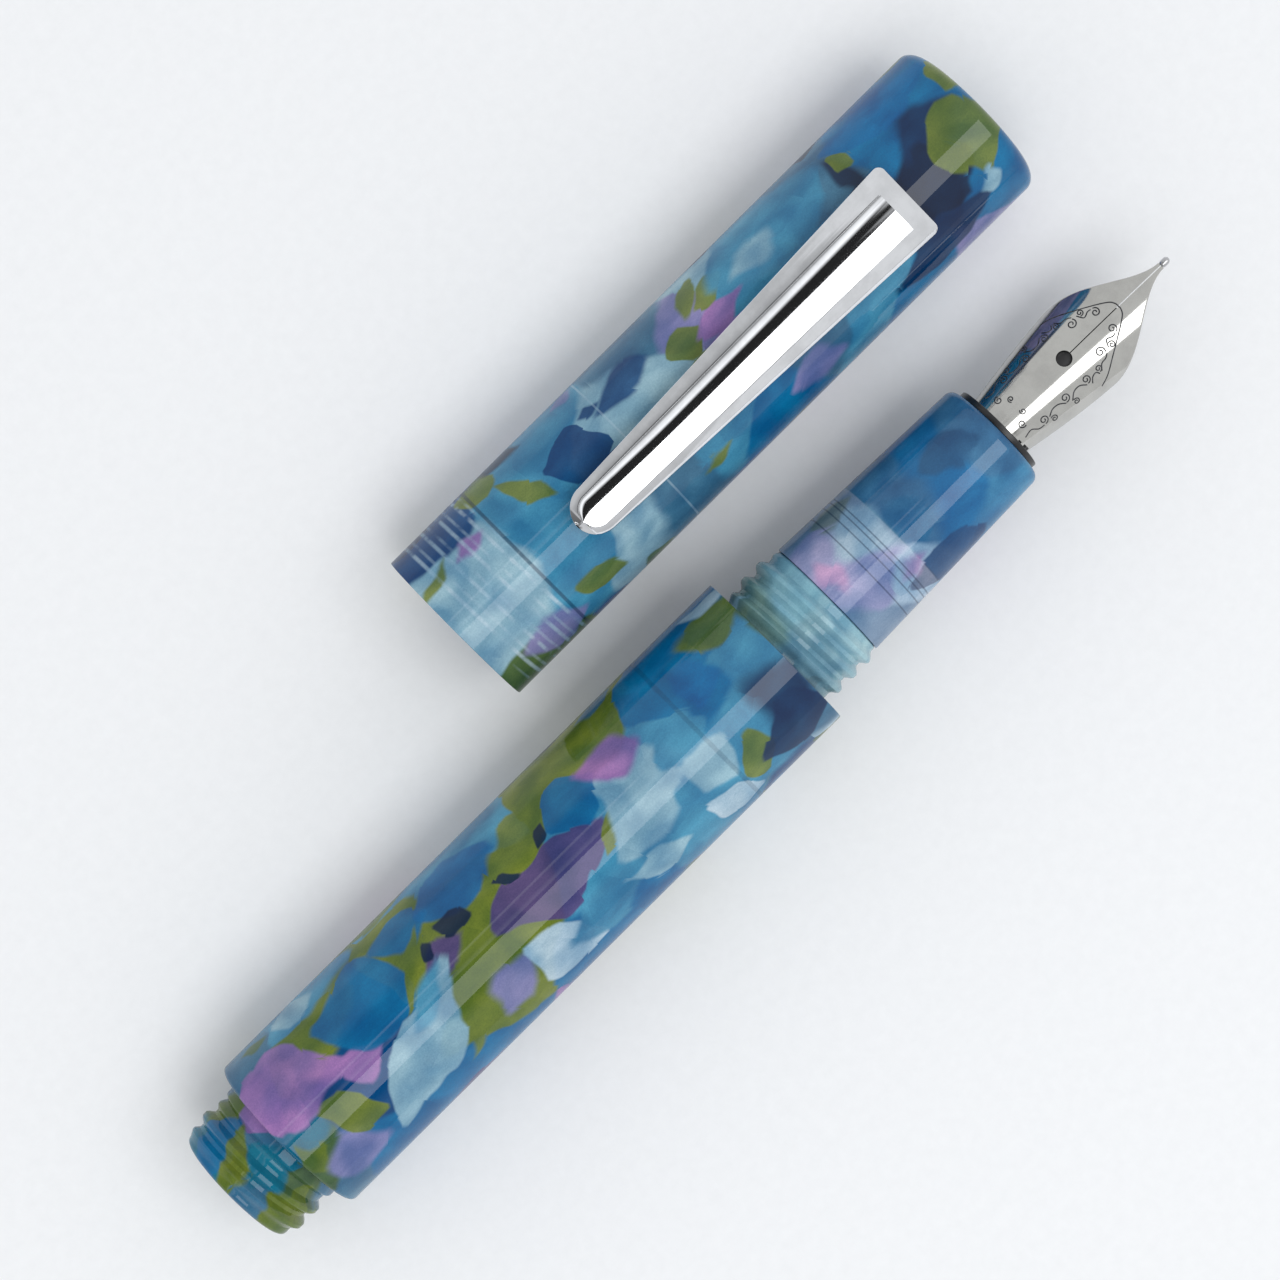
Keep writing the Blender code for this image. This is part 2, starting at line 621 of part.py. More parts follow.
def make_piston():
    rod = [(ROD_FRONT_X, 0.0), (ROD_FRONT_X, ROD_CREST_R), (ROD_THREAD_X + CHAMFER, ROD_CREST_R)]
    rod += [(ROD_THREAD_X, ROD_ROOT_R), Thread(ROD_CREST_R, ROD_LEAD), (ROD_REAR_X + CHAMFER, ROD_ROOT_R)]
    rod += [(ROD_REAR_X, ROD_ROOT_R - CHAMFER), (ROD_REAR_X, 0.0)]
    threaded("piston_rod", rod, PEN_AXIS, "white_plastic", ROD_SIDES)
    head = [(HEAD_FRONT_X, 0.0), (HEAD_FRONT_X, HEAD_R - CHAMFER), (HEAD_FRONT_X - CHAMFER, HEAD_R)]
    for x in SEAL_PLACES.values():
        head += [(x + SEAL_GROOVE_HALF, HEAD_R), (x + SEAL_GROOVE_HALF, SEAL_GROOVE_R)]
        head += [(x - SEAL_GROOVE_HALF, SEAL_GROOVE_R), (x - SEAL_GROOVE_HALF, HEAD_R)]
    head += [(HEAD_REAR_X + CHAMFER, HEAD_R), (HEAD_REAR_X, HEAD_R - CHAMFER), (HEAD_REAR_X, HEAD_BORE_R)]
    head += [(ROD_FRONT_X + CHAMFER, HEAD_BORE_R), (ROD_FRONT_X + CHAMFER, 0.0)]
    turned("piston_head", head, PEN_AXIS, "grey_plastic")
    for name, x in SEAL_PLACES.items():
        turned(name, torus_profile(x, SEAL_R, SEAL_TUBE_R), PEN_AXIS, "rubber")


def make_ball():
    """The loose ball that stirs the ink, lying at the bottom of the tube."""
    work = bmesh.new()
    bmesh.ops.create_uvsphere(work, u_segments=ROD_SIDES, v_segments=ROD_SIDES // 2, radius=BALL_R)
    rest = Vector((BALL_X, 0.0, BALL_R + GAP - TUBE_BORE_R * math.cos(math.pi / INNER_SIDES)))
    place("agitator_ball", mesh_from("agitator_ball", work), Vector(PEN_AXIS) + rest, "polished_steel")


def make_cap():
    edge = CAP_END_X - CAP_CROWN
    run, drop = CAP_END_EDGE
    end = [(CAP_END_X, 0.0), (CAP_END_X - CAP_CROWN / 4, CAP_R / 3)] + corner(edge, CAP_R, -run, drop, 3)
    mouth = [(CAP_MOUTH_X + CHAMFER, CAP_R), (CAP_MOUTH_X, CAP_R - CHAMFER), (CAP_MOUTH_X, CAP_MOUTH_R)]
    thread = [(CAP_MOUTH_X + CAP_MOUTH_R - FEMALE_ROOT_R, FEMALE_ROOT_R)]
    thread += [Thread(FEMALE_CREST_R, THREAD_PITCH), (CAP_THREAD_END_X, FEMALE_ROOT_R)]
    wide = CAP_BORE_R + CAP_BORE_STEP
    bore = [(CAP_RELIEF_END_X, FEMALE_ROOT_R), (CAP_RELIEF_END_X + CHAMFER, wide)]
    bore += [(CAP_BORE_STEP_X, wide), (CAP_BORE_STEP_X + CHAMFER, CAP_BORE_R)]
    depth = CAP_BORE_END_X - CAP_BORE_ROUND_X
    bore += reversed(corner(CAP_BORE_END_X, CAP_BORE_R, -depth, CAP_BORE_R, 3))
    cap = threaded("cap", end + mouth + thread + bore, CAP_AXIS, "resin")
    low, high = slot_corners(SLOT_CLEAR, *SLOT_W)
    slot = block_mesh("clip_slot", low, high, POST_SIZE[0] / 2)
    boolean(cap, place("clip_slot", slot, clip_pivot(), roll=CLIP_ROLL))


def clip_pivot():
    """Where the clip's root is held, in the middle of the cap's wall."""
    up = Matrix.Rotation(CLIP_ROLL, 3, "X") @ Vector((0.0, 0.0, CLIP_PIVOT_W))
    return Vector(CAP_AXIS) + up + Vector((POST_X, 0.0, 0.0))


def slot_corners(clear, bottom_w, top_w):
    """The corners of the clip's post grown by `clear`, in the clip's own frame."""
    half_x = POST_SIZE[0] / 2 + clear
    half_y = POST_SIZE[1] / 2 + clear
    return (-half_x, -half_y, bottom_w - CLIP_PIVOT_W), (half_x, half_y, top_w - CLIP_PIVOT_W)


def clip_sizes(x):
    """Half width at the foot, half width at the top, and the heights of the foot, edge and top at x."""
    share = (x - CLIP_TIP_X) / (CLIP_ROOT_X - CLIP_TIP_X)
    foot_half = CLIP_TIP_HALF + (CLIP_ROOT_HALF - CLIP_TIP_HALF) * share
    top_half = CLIP_TOP_TIP_HALF + (CLIP_TOP_ROOT_HALF - CLIP_TOP_TIP_HALF) * share
    foot = CLIP_FOOT_TIP_W + (CLIP_FOOT_ROOT_W - CLIP_FOOT_TIP_W) * share**2
    top = CLIP_TOP_TIP_W + (CLIP_TOP_ROOT_W - CLIP_TOP_TIP_W) * share
    edge = top - CLIP_BEVEL_SLOPE * (foot_half - top_half)
    from_tip = x - CLIP_TIP_X
    foot_half *= round_end(from_tip / CLIP_TIP_HALF)
    top_half = min(foot_half, top_half * round_end((from_tip - CLIP_TIP_BEVEL) / CLIP_TOP_TIP_HALF))
    rise = min(1.0, from_tip / CLIP_TIP_BEVEL, (CLIP_ROOT_X - x) / CLIP_ROOT_BEVEL)
    if x > CLIP_ROOT_X - CLIP_ROOT_BEVEL:
        top_half = foot_half + (top_half - foot_half) * rise
    return foot_half, top_half, foot, edge, edge + (top - edge) * rise


def round_end(share):
    """The share of its full width that a half round end has, `share` of its radius from the end."""
    rest = 1 - min(1.0, max(0.0, share))
    return math.sqrt(max(CLIP_TIP_BLUNT, 1 - rest * rest))


def clip_section(x):
    foot_half, top_half, foot, edge, top = clip_sizes(x)
    inset = max(0.0, CLIP_ROOT_CORNER - (CLIP_ROOT_X - x))
    foot_half -= CLIP_ROOT_CORNER - math.sqrt(CLIP_ROOT_CORNER**2 - inset**2)
    top_half = min(top_half, foot_half)
    crown = CLIP_CROWN * min(1.0, (top - edge) / CLIP_TIP_BEVEL)
    bump = max(0.0, 1 - ((x - CLIP_BUMP_X) / CLIP_BUMP_HALF) ** 2)
    low = foot + (CLIP_BUMP_W - foot) * bump
    right = [(foot_half, foot), (foot_half, edge), (top_half, top)]
    right.append((top_half / 2, top + crown * 0.75))
    left = [(-v, w) for v, w in reversed(right)]
    under = [(-foot_half / 2, low), (0.0, low), (foot_half / 2, low)]
    outline = right + [(0.0, top + crown)] + left + under
    return [(x - POST_X, v, w - CLIP_PIVOT_W) for v, w in outline]


def make_clip():
    bump_start = CLIP_BUMP_X - CLIP_BUMP_HALF
    stations = [CLIP_TIP_X + CLIP_TIP_HALF * (1 - math.cos(a)) for a in spread(0.0, math.pi / 2, 6)]
    stations += spread(bump_start, CLIP_BUMP_X + CLIP_BUMP_HALF, 4)
    stations += spread(CLIP_BUMP_X + 3 * CLIP_BUMP_HALF, CLIP_ROOT_X - CLIP_ROOT_BEVEL, 3)
    stations += [CLIP_ROOT_X - CLIP_ROOT_CORNER * (1 - math.sin(a)) for a in spread(0.0, math.pi / 2, 3)]
    mesh = lofted_mesh("cap_clip", [clip_section(x) for x in sorted(stations)], smooth=25.0)
    clip = place("cap_clip", mesh, clip_pivot(), "chrome", CLIP_ROLL)
    low, high = slot_corners(0.0, POST_BOTTOM_W, POST_TOP_W)
    post = block_mesh("clip_post", low, high, POST_SIZE[0] / 2 - SLOT_CLEAR)
    boolean(clip, place("clip_post", post, clip_pivot(), roll=CLIP_ROLL), "UNION")
    hole = upright_rod_mesh("clip_screw_hole", 0.0, SCREW_R + SCREW_CLEAR, -POST_X,
                            SCREW_TOP_W + SCREW_CLEAR - CLIP_PIVOT_W)
    boolean(clip, place("clip_screw_hole", hole, clip_pivot(), roll=CLIP_ROLL))


def make_clip_fixing():
    """The washer and the slotted screw that hold the clip's post from inside the cap."""
    washer_top = WASHER_TOP_W - CLIP_PIVOT_W
    washer_bottom = washer_top - WASHER_THICK
    length, width = WASHER_SIZE
    low = (-length / 2, -width / 2, washer_bottom)
    mesh = block_mesh("clip_washer", low, (length / 2, width / 2, washer_top))
    washer = place("clip_washer", mesh, clip_pivot(), "plain_steel", CLIP_ROLL)
    hole = upright_rod_mesh("washer_hole", 0.0, SCREW_R + SCREW_CLEAR, washer_bottom - 1.0, washer_top + 1.0)
    boolean(washer, place("washer_hole", hole, clip_pivot(), roll=CLIP_ROLL))
    head_top = washer_bottom - GAP
    head_bottom = head_top - SCREW_HEAD_THICK
    mesh = upright_rod_mesh("clip_screw", 0.0, SCREW_R, head_bottom, SCREW_TOP_W - CLIP_PIVOT_W)
    screw = place("clip_screw", mesh, clip_pivot(), "plain_steel", CLIP_ROLL)
    mesh = upright_rod_mesh("screw_head", 0.0, SCREW_HEAD_R, head_bottom, head_top)
    boolean(screw, place("screw_head", mesh, clip_pivot(), roll=CLIP_ROLL), "UNION")
    length, width, depth = SCREW_SLOT
    low = (-length / 2, -width / 2, head_bottom - 1.0)
    mesh = block_mesh("screw_slot", low, (length / 2, width / 2, head_bottom + depth))
    boolean(screw, place("screw_slot", mesh, clip_pivot(), roll=CLIP_ROLL))


def main():
    clear_scene()
    add_collection(COLLECTION)
    add_collection(CUTTERS)
    make_barrel()
    make_section()
    make_housing()
    make_nib()
    make_tipping()
    make_feed()
    make_converter_mouth()
    make_converter_tube()
    make_ferrule()
    make_drive_sleeve()
    make_knob()
    make_piston()
    make_ball()
    make_cap()
    make_clip()
    make_clip_fixing()


main()
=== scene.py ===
"""The looks of the pocket fountain pen: fine surfaces, pearl resin, polished metal, floor, light, camera.

Lengths are in millimetres in the frame of the CAD model, X along the pen, and become metres as each mesh
is made. Places across the pen come from the frame, and an X is the same place as in the CAD model.
"""

import math
from collections import namedtuple

import bmesh
import bpy
from mathutils import Matrix, Vector


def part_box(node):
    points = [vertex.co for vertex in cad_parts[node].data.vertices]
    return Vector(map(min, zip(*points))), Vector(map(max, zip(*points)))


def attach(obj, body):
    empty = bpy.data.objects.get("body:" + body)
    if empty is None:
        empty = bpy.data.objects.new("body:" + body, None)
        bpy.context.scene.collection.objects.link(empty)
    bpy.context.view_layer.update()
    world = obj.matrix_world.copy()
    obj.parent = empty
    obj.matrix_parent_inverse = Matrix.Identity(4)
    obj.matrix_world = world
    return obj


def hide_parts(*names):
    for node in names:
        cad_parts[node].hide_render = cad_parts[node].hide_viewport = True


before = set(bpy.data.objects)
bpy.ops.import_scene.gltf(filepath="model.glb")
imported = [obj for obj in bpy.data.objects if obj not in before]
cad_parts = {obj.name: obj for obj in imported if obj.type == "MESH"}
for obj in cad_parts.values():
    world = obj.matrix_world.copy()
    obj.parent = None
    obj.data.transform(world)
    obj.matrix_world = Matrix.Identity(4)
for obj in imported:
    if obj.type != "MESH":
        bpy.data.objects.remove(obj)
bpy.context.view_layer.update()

MM = 0.001
SIDES = 144
INNER_SIDES = 72
FILLET = 0.1
FILLET_STEPS = 3
CORNER_SHARE = 0.45
POINTS_PER_MM = 1e5
THREAD_ROWS = 10
THREAD_FADE = 0.6
# A thread's flank: a cosine swell times the first value less the second, kept between 0 and 1
THREAD_FLANK = (1.4, 0.16)
# Angles in degrees: what counts as a corner, and how far shading stays smooth
CORNER_ANGLE = 25.0
SMOOTH_ANGLE = 32.0
NIB_SMOOTH = 40.0
CLIP_SMOOTH = 22.0

# Barrel
BARREL_R = 7.0
TAIL_X = -49.8
TAIL_FACE_R = 4.5
TAIL_ROUND = 0.42
TAIL_THREAD_END_X = -45.35
TAIL_STEP_X = -44.1
STEP_EDGE = (0.38, 0.45)
SHOULDER_X = 7.9
BARREL_FRONT_X = 13.4
SOCKET_R = 4.5
SOCKET_END_X = -0.4
BORE_R = 4.2
BORE_END_X = -44.4
BORE_CONE = 2.4
THREAD_PITCH = 1.6
MALE_ROOT_R = 5.12
MALE_CREST_R = 5.63
FEMALE_ROOT_R = 5.75
FEMALE_CREST_R = 5.3
NECK_R = 5.5
NECK_RUN = 0.3

# Section
GAP = 0.02
SECTION_FRONT_X = 31.3
SECTION_REAR_R = 5.25
SECTION_FRONT_R = 4.72
SECTION_LIP = (0.7, 0.64)
TENON_R = 4.4
TENON_THREAD = (4.45, 4.15, 1.25)
TENON_THREAD_X = (1.1, 5.45)
CONVERTER_BORE_R = 3.65
MOUTH_BORE_R = 3.15
MOUTH_BORE_X = 12.2
HOUSING_SEAT_X = 20.0
HOUSING_BORE_R = 3.4
O_RING = (12.85, 4.19, 0.26)
GROOVE_HALF = 0.34
GROOVE_R = 3.87

# Nib unit
FLANGE_R = 3.85
FLANGE_FRONT_X = 31.82
FLANGE_KEY_REACH = 2.35
FLANGE_KEY_R = 0.24
HOUSING_R = 3.35
HOUSING_THREAD = (3.35, 3.2, 0.75)
HOUSING_THREAD_X = (20.6, 23.25)
HOUSING_REAR_X = 20.1
HOUSING_FLOOR_X = 20.5
NIB_BORE_R = 2.86
NIPPLE_R = 1.25
NIPPLE_BORE_R = 0.55
NIPPLE_END_X = 13.4
NIB_ROLL = math.radians(-8.0)
NIB_REAR_X = 22.0
NIB_COLLAR_X = 30.6
NIB_END_X = 48.98
NIB_TIP_X = 49.8
NIB_SHANK_R = 2.8
NIB_SHANK_HALF = 2.6
NIB_BASE_HALF = 2.76
NIB_SHOULDER_X = 40.5
NIB_SHOULDER_HALF = 3.87
NIB_END_HALF = 0.3
NIB_HOLLOW = 1.75
NIB_THICK = 0.22
NIB_FLARE = 0.17
NIB_DROOP = 0.0055
NIB_COLUMNS = 56
BREATHER_X = 38.7
BREATHER_R = 0.63
SLIT_WIDTH = 0.08
TIPPING_R = 0.3
FEED_REAR_X = 20.6
FEED_TAPER_X = 38.0
FEED_TIP_X = 44.3
FEED_TIP_HALF = 0.45
FEED_R = 2.45
FEED_CLEAR = 0.12
FEED_FINS = 9
FIN_FIRST_X = 33.2
FIN_PITCH = 0.72
FIN_SLOT = 0.26
FIN_TOP = -0.9
FIN_RISE = 0.06

# Converter
TUBE_R = 3.5
TUBE_BORE_R = 3.0
TUBE_REAR_X = -16.0
MOUTH_FRONT_X = 19.2
MOUTH_REAR_X = 11.5
MOUTH_SEAT_X = 10.0
MOUTH_SOCKET_X = 12.9
MOUTH_SOCKET_R = 1.3
MOUTH_R = 3.05
MOUTH_COLLAR_R = 3.45
INK_WAY_R = 0.9
PLUG_R = 2.95
PLUG_END_X = 7.0
FERRULE_R = 3.75
FERRULE_SEAT_R = 3.55
FERRULE_FRONT_X = -12.0
FERRULE_REAR_X = -24.2
FERRULE_RING_X = -13.4
FERRULE_RING_HALF = FILLET * 1.5
FERRULE_RING_DEPTH = 0.09
SLEEVE_R = 2.35
SLEEVE_HEAD_R = 2.8
SLEEVE_BORE_R = 1.45
SLEEVE_FRONT_X = -16.4
SLEEVE_STEP_X = -18.5
SLEEVE_REAR_X = -29.0
SLEEVE_CLEAR = 0.07
KNOB_R = 3.2
KNOB_NECK_R = 3.0
KNOB_BORE_R = 2.4
KNOB_FRONT_X = -24.3
KNOB_NECK = 0.7
KNOB_REAR_X = -36.0
KNOB_FLUTES = 18
KNOB_FLUTE_R = 0.16
ROD_BORE_R = 1.6
ROD_BORE_END_X = -34.4
ROD_THREAD = (1.3, 1.08, 3.25)
ROD_FRONT_X = 4.0
ROD_THREAD_X = 0.7
ROD_REAR_X = -20.0
HEAD_FRONT_X = 5.2
HEAD_REAR_X = 1.6
HEAD_R = 2.7
HEAD_BORE_R = 1.36
SEAL_PLACES = {"piston_seal_front": 4.35, "piston_seal_rear": 2.45}
SEAL_GROOVE_HALF = 0.35
SEAL_GROOVE_R = 2.33
SEAL_R = 2.66
SEAL_TUBE_R = 0.29

# Cap and clip
CAP_R = 6.9
CAP_MOUTH_X = -8.1
CAP_MOUTH_R = 6.05
CAP_THREAD_END_X = -2.2
CAP_RELIEF_END_X = -0.9
CAP_BORE_R = 5.4
CAP_BORE_STEP_X = 11.0
CAP_BORE_STEP = 0.05
CAP_BORE_ROUND_X = 38.9
CAP_BORE_END_X = 40.6
CAP_END_X = 47.5
CAP_CROWN = 0.3
CAP_END_EDGE = (1.15, 1.5)
CLIP_ROLL = math.radians(9.0)
CLIP_TIP_X = 3.8
CLIP_ROOT_X = 38.4
CLIP_ROOT_HALF = 3.35
CLIP_TIP_HALF = 1.9
CLIP_TOP_ROOT_HALF = 1.82
CLIP_TOP_TIP_HALF = 1.32
CLIP_FOOT_ROOT_W = 7.12
CLIP_FOOT_TIP_W = 7.85
CLIP_TOP_ROOT_W = 9.35
CLIP_TOP_TIP_W = 8.8
CLIP_BEVEL_SLOPE = 0.65
CLIP_CROWN = 0.07
CLIP_TOP_LEAN = 0.033
CLIP_ROOT_BEVEL = 1.6
CLIP_ROOT_CORNER = 0.6
CLIP_TIP_BEVEL = 0.55
CLIP_TIP_BLUNT = 0.01
CLIP_BUMP_X = 6.6
CLIP_BUMP_HALF = 1.8
CLIP_BUMP_W = 6.98
POST_X = 36.6
POST_SIZE = (2.3, 4.1)
POST_BOTTOM_W = 5.0
POST_TOP_W = 7.52
SLOT_CLEAR = 0.15
SLOT_W = (4.0, 8.5)
SCREW_R = 0.6
SCREW_CLEAR = 0.06
SCREW_TOP_W = 7.4
SCREW_HEAD_R = 1.3
SCREW_HEAD_THICK = 0.75
SCREW_SLOT = (4.0, 0.32, 0.3)
WASHER_SIZE = (3.2, 3.4)
WASHER_TOP_W = 4.8
WASHER_THICK = 0.5
CUT_PAST = 1.0

# Camera, floor and light, in metres
CAMERA_AT = (0.0012, -0.0013, 0.337)
CAMERA_TURN = math.radians(-44.8)
CAMERA_VIEW = math.radians(16.7)
SENSOR_WIDTH_MM = 36.0
CLIP_START = 0.01
FLOOR_SIZE = 3.0
FLOOR_Z = -0.00003
SOFTBOX_AT = (0.0, -0.577, 1.2)
SOFTBOX_SIZE = (1.3, 0.674)
SOFTBOX_RADIANCE = 3.0
AMBIENT = 0.83
# The room that reflections show: brightness at angles from straight up, in degrees towards +Y
ROOM_LEVELS = (
    (-180, 0.6), (-90, 0.6), (-60, 0.75), (-42, 0.02), (-12, 0.02), (-6.3, 0.02),
    (-5.8, 1.3), (-2, 0.8), (-1, 0.26), (8.2, 0.26), (8.5, 1.7), (10.5, 1.7),
    (10.8, 0.15), (36, 0.2), (50, 0.6), (90, 0.6), (180, 0.6),
)
ROOM_TINT = (0.975, 0.99, 1.0)
ROOM_AHEAD = 0.8
# Where the dark gap beside the softbox ends, as a slope towards +X, then the scale and reach of its ripple
GAP_END = (0.1, 0.118)
GAP_RIPPLE = (30.0, 0.05)
FULL_TURN = 360.0


Thread = namedtuple("Thread", "crest_r pitch")


def middle_of(node):
    low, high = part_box(node)
    return (low + high) / 2 / MM


PEN_AXIS = Matrix.Translation((0.0, middle_of("barrel").y, middle_of("barrel").z))
CAP_AXIS = Matrix.Translation((0.0, middle_of("cap").y, middle_of("cap").z))
NIB_PLACE = PEN_AXIS @ Matrix.Rotation(NIB_ROLL, 4, "X")
CLIP_PLACE = CAP_AXIS @ Matrix.Rotation(CLIP_ROLL, 4, "X")


# ---------------------------------------------------------------- mesh helpers


class Surface:
    """Collects faces in millimetres, joining points that lie in the same place."""

    def __init__(self):
        self.work = bmesh.new()
        self.found = {}

    def vertex(self, co):
        key = tuple(round(c * POINTS_PER_MM) for c in co)
        if key not in self.found:
            self.found[key] = self.work.verts.new(co)
        return self.found[key]

    def face(self, corners):
        loop = list(dict.fromkeys(self.vertex(co) for co in corners))
        if len(loop) > 2:
            self.work.faces.new(loop)


def smooth_up_to(mesh, degrees):
    mesh.shade_smooth()
    mesh.set_sharp_from_angle(angle=math.radians(degrees))
    return mesh


def mesh_from(name, work, place, smooth=SMOOTH_ANGLE):
    """The mesh of a bmesh in millimetres, put in its place and shaded smooth up to an angle."""
    work.transform(Matrix.Scale(MM, 4) @ place)
    bmesh.ops.recalc_face_normals(work, faces=work.faces)
    mesh = bpy.data.meshes.new(name)
    work.to_mesh(mesh)
    work.free()
    return smooth_up_to(mesh, smooth)


def add_object(name, data):
    obj = bpy.data.objects.new(name, data)
    bpy.context.scene.collection.objects.link(obj)
    return obj


def add_piece(name, data, body, node, material):
    """A finished piece that rides on a body and stands for a CAD node."""
    obj = add_object(name, data)
    data.materials.append(material)
    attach(obj, body)
    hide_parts(node)
    return obj


def cut(mesh, cutters, operation="DIFFERENCE", smooth=SMOOTH_ANGLE):
    """The mesh after one Boolean with each cutter mesh."""
    target = add_object(mesh.name, mesh)
    helpers = [add_object(f"{mesh.name}_cutter", cutter) for cutter in cutters]
    for helper in helpers:
        modifier = target.modifiers.new("Cut", "BOOLEAN")
        modifier.operation = operation
        modifier.object = helper
    graph = bpy.context.evaluated_depsgraph_get()
    done = bpy.data.meshes.new_from_object(target.evaluated_get(graph))
    for obj in [target] + helpers:
        bpy.data.objects.remove(obj)
    return smooth_up_to(done, smooth)


def arc_between(before, at, after, size):
    """Points of a rounded corner that starts and ends up to `size` away from the sharp one."""
    to_before = Vector(before) - Vector(at)
    to_after = Vector(after) - Vector(at)
    reach = min(size, to_before.length * CORNER_SHARE, to_after.length * CORNER_SHARE)
    start = Vector(at) + to_before.normalized() * reach
    end = Vector(at) + to_after.normalized() * reach
    points = []
    for k in range(FILLET_STEPS + 1):
        t = k / FILLET_STEPS
        points.append(tuple((1 - t) ** 2 * start + 2 * t * (1 - t) * Vector(at) + t * t * end))
    return points


def is_corner(before, at, after):
    turn = (Vector(at) - Vector(before)).angle(Vector(after) - Vector(at), 0.0)
    return turn > math.radians(CORNER_ANGLE)


def filleted(profile, size=FILLET):
    """The profile with each sharp corner rounded, apart from those beside a Thread or on the axis."""
    done = []
    ring = profile[0][1] > 0
    for k, item in enumerate(profile):
        before = profile[k - 1] if k or ring else None
        after = profile[(k + 1) % len(profile)] if k < len(profile) - 1 or ring else None
        plain = not any(p is None or isinstance(p, Thread) for p in (before, item, after))
        if plain and is_corner(before, item, after):
            done += arc_between(before, item, after, size)
        else:
            done.append(item)
    return done


def corner(x, r, run, drop, steps=6):
    """A rounded edge from (x, r - drop) on a flat face to (x + run, r) on the side."""
    angles = [math.pi / 2 * k / steps for k in range(steps + 1)]
    return [(x + run * (1 - math.cos(a)), r - drop * (1 - math.sin(a))) for a in angles]


def stepped(radius, *faces):
    """Square steps of a profile: each flat face at an X leads from the radius before it to its own."""
    points = []
    for x, beyond in faces:
        points += [(x, radius), (x, beyond)]
        radius = beyond
    return points


def turned_mesh(name, profile, place=PEN_AXIS, sides=INNER_SIDES, fillet=FILLET):
    """Turns a profile of (x, r) points about X. A Thread in it lies between its two root points."""
    surface = Surface()
    profile = filleted(profile, fillet) if fillet else profile
    points = [item for item in profile if not isinstance(item, Thread)]
    threads = {}
    for index, item in enumerate(profile):
        if isinstance(item, Thread):
            threads[index - len(threads) - 1] = item
    if points[0][1] > 0:
        points.append(points[0])

    def on_circle(x, r, j):
        angle = 2 * math.pi * (j % sides) / sides
        return (x, r * math.sin(angle), r * math.cos(angle))

    def ring_point(i, j):
        return on_circle(*points[i], j)

    def thread_point(start, end, root, thread, row, j):
        x = start + thread.pitch * (row / THREAD_ROWS - j / sides)
        x = min(max(x, start), end)
        swell = 0.5 - 0.5 * math.cos(2 * math.pi * row / THREAD_ROWS)
        height = min(1.0, max(0.0, THREAD_FLANK[0] * swell - THREAD_FLANK[1]))
        fade = min(1.0, min(x - start, end - x) / (THREAD_FADE * thread.pitch))
        return on_circle(x, root + (thread.crest_r - root) * height * fade, j)

    def patch(point, row):
        for j in range(sides):
            surface.face([point(row, j), point(row + 1, j), point(row + 1, j + 1), point(row, j + 1)])

    def thread_patch(start, end, root, thread):
        def unrolled(row, j):
            return thread_point(start, end, root, thread, row - THREAD_ROWS * (j // sides), j % sides)

        turns = math.ceil((end - start) / thread.pitch) + 1
        for row in range(turns * THREAD_ROWS):
            patch(unrolled, row)

    for i, (x, r) in enumerate(points[:-1]):
        if i in threads:
            thread_patch(*sorted((x, points[i + 1][0])), r, threads[i])
        else:
            patch(ring_point, i)
    return mesh_from(name, surface.work, place)


def turned_piece(name, profile, body, node, material, sides=INNER_SIDES, fillet=FILLET):
    """A piece that is only turned about the pen's axis, with nothing cut from it."""
    mesh = turned_mesh(name, profile, PEN_AXIS, sides, fillet)
    add_piece(name, mesh, body, node, material)


def lofted_mesh(name, sections, place, smooth=SMOOTH_ANGLE):
    """A solid skinned over closed sections that have the same number of points."""
    surface = Surface()
    for near, far in zip(sections, sections[1:]):
        for k in range(len(near)):
            surface.face([near[k - 1], far[k - 1], far[k], near[k]])
    surface.face(sections[0])
    surface.face(sections[-1])
    return mesh_from(name, surface.work, place, smooth)


def spread(start, end, count):
    return [start + (end - start) * k / count for k in range(count + 1)]


def box_mesh(name, low, high, place, upright_round=0.0, edge_round=0.0):
    """A box between two corners, with rounded upright edges and then softened edges all round."""
    low = Vector(low)
    high = Vector(high)
    work = bmesh.new()
    shape = Matrix.Translation((low + high) / 2) @ Matrix.Diagonal((*(high - low), 1.0))
    bmesh.ops.create_cube(work, size=1.0, matrix=shape)
    if upright_round:
        upright = [e for e in work.edges if abs(e.verts[0].co.z - e.verts[1].co.z) > GAP]
        bmesh.ops.bevel(work, geom=upright, offset=upright_round, segments=8, profile=0.5, affect="EDGES")
    if edge_round:
        rims = [e for e in work.edges if e.calc_face_angle(0.0) > math.radians(CORNER_ANGLE)]
        bmesh.ops.bevel(work, geom=rims, offset=edge_round, segments=2, profile=0.5, affect="EDGES")
    return mesh_from(name, work, place)


def rods_mesh(name, rods, place, sides=24):
    """Straight round rods in one mesh, each given by its radius, its two ends on X, and its own place."""
    work = bmesh.new()
    for radius, low, high, own in rods:
        along_x = Matrix.Translation(((low + high) / 2, 0.0, 0.0)) @ Matrix.Rotation(math.pi / 2, 4, "Y")
        bmesh.ops.create_cone(work, cap_ends=True, segments=sides, radius1=radius, radius2=radius,
                              depth=high - low, matrix=own @ along_x)
    return mesh_from(name, work, place)


# ------------------------------------------------------------ material helpers

# How pointed an edge has to be before it looks worn, and how the scratches of turned and other metal run
WORN_EDGE = (0.52, 0.6)
LATHE_STRETCH = (30.0, 0.4, 0.4)
SCRATCH_STRETCH = (1.2, 14.0, 14.0)


def linear(red, green, blue):
    """A display colour of 0 to 255 as the linear colour that a shader takes, by the sRGB formula."""
    parts = [c / 255 for c in (red, green, blue)]
    return tuple(c / 12.92 if c <= 0.04045 else ((c + 0.055) / 1.055) ** 2.4 for c in parts) + (1.0,)


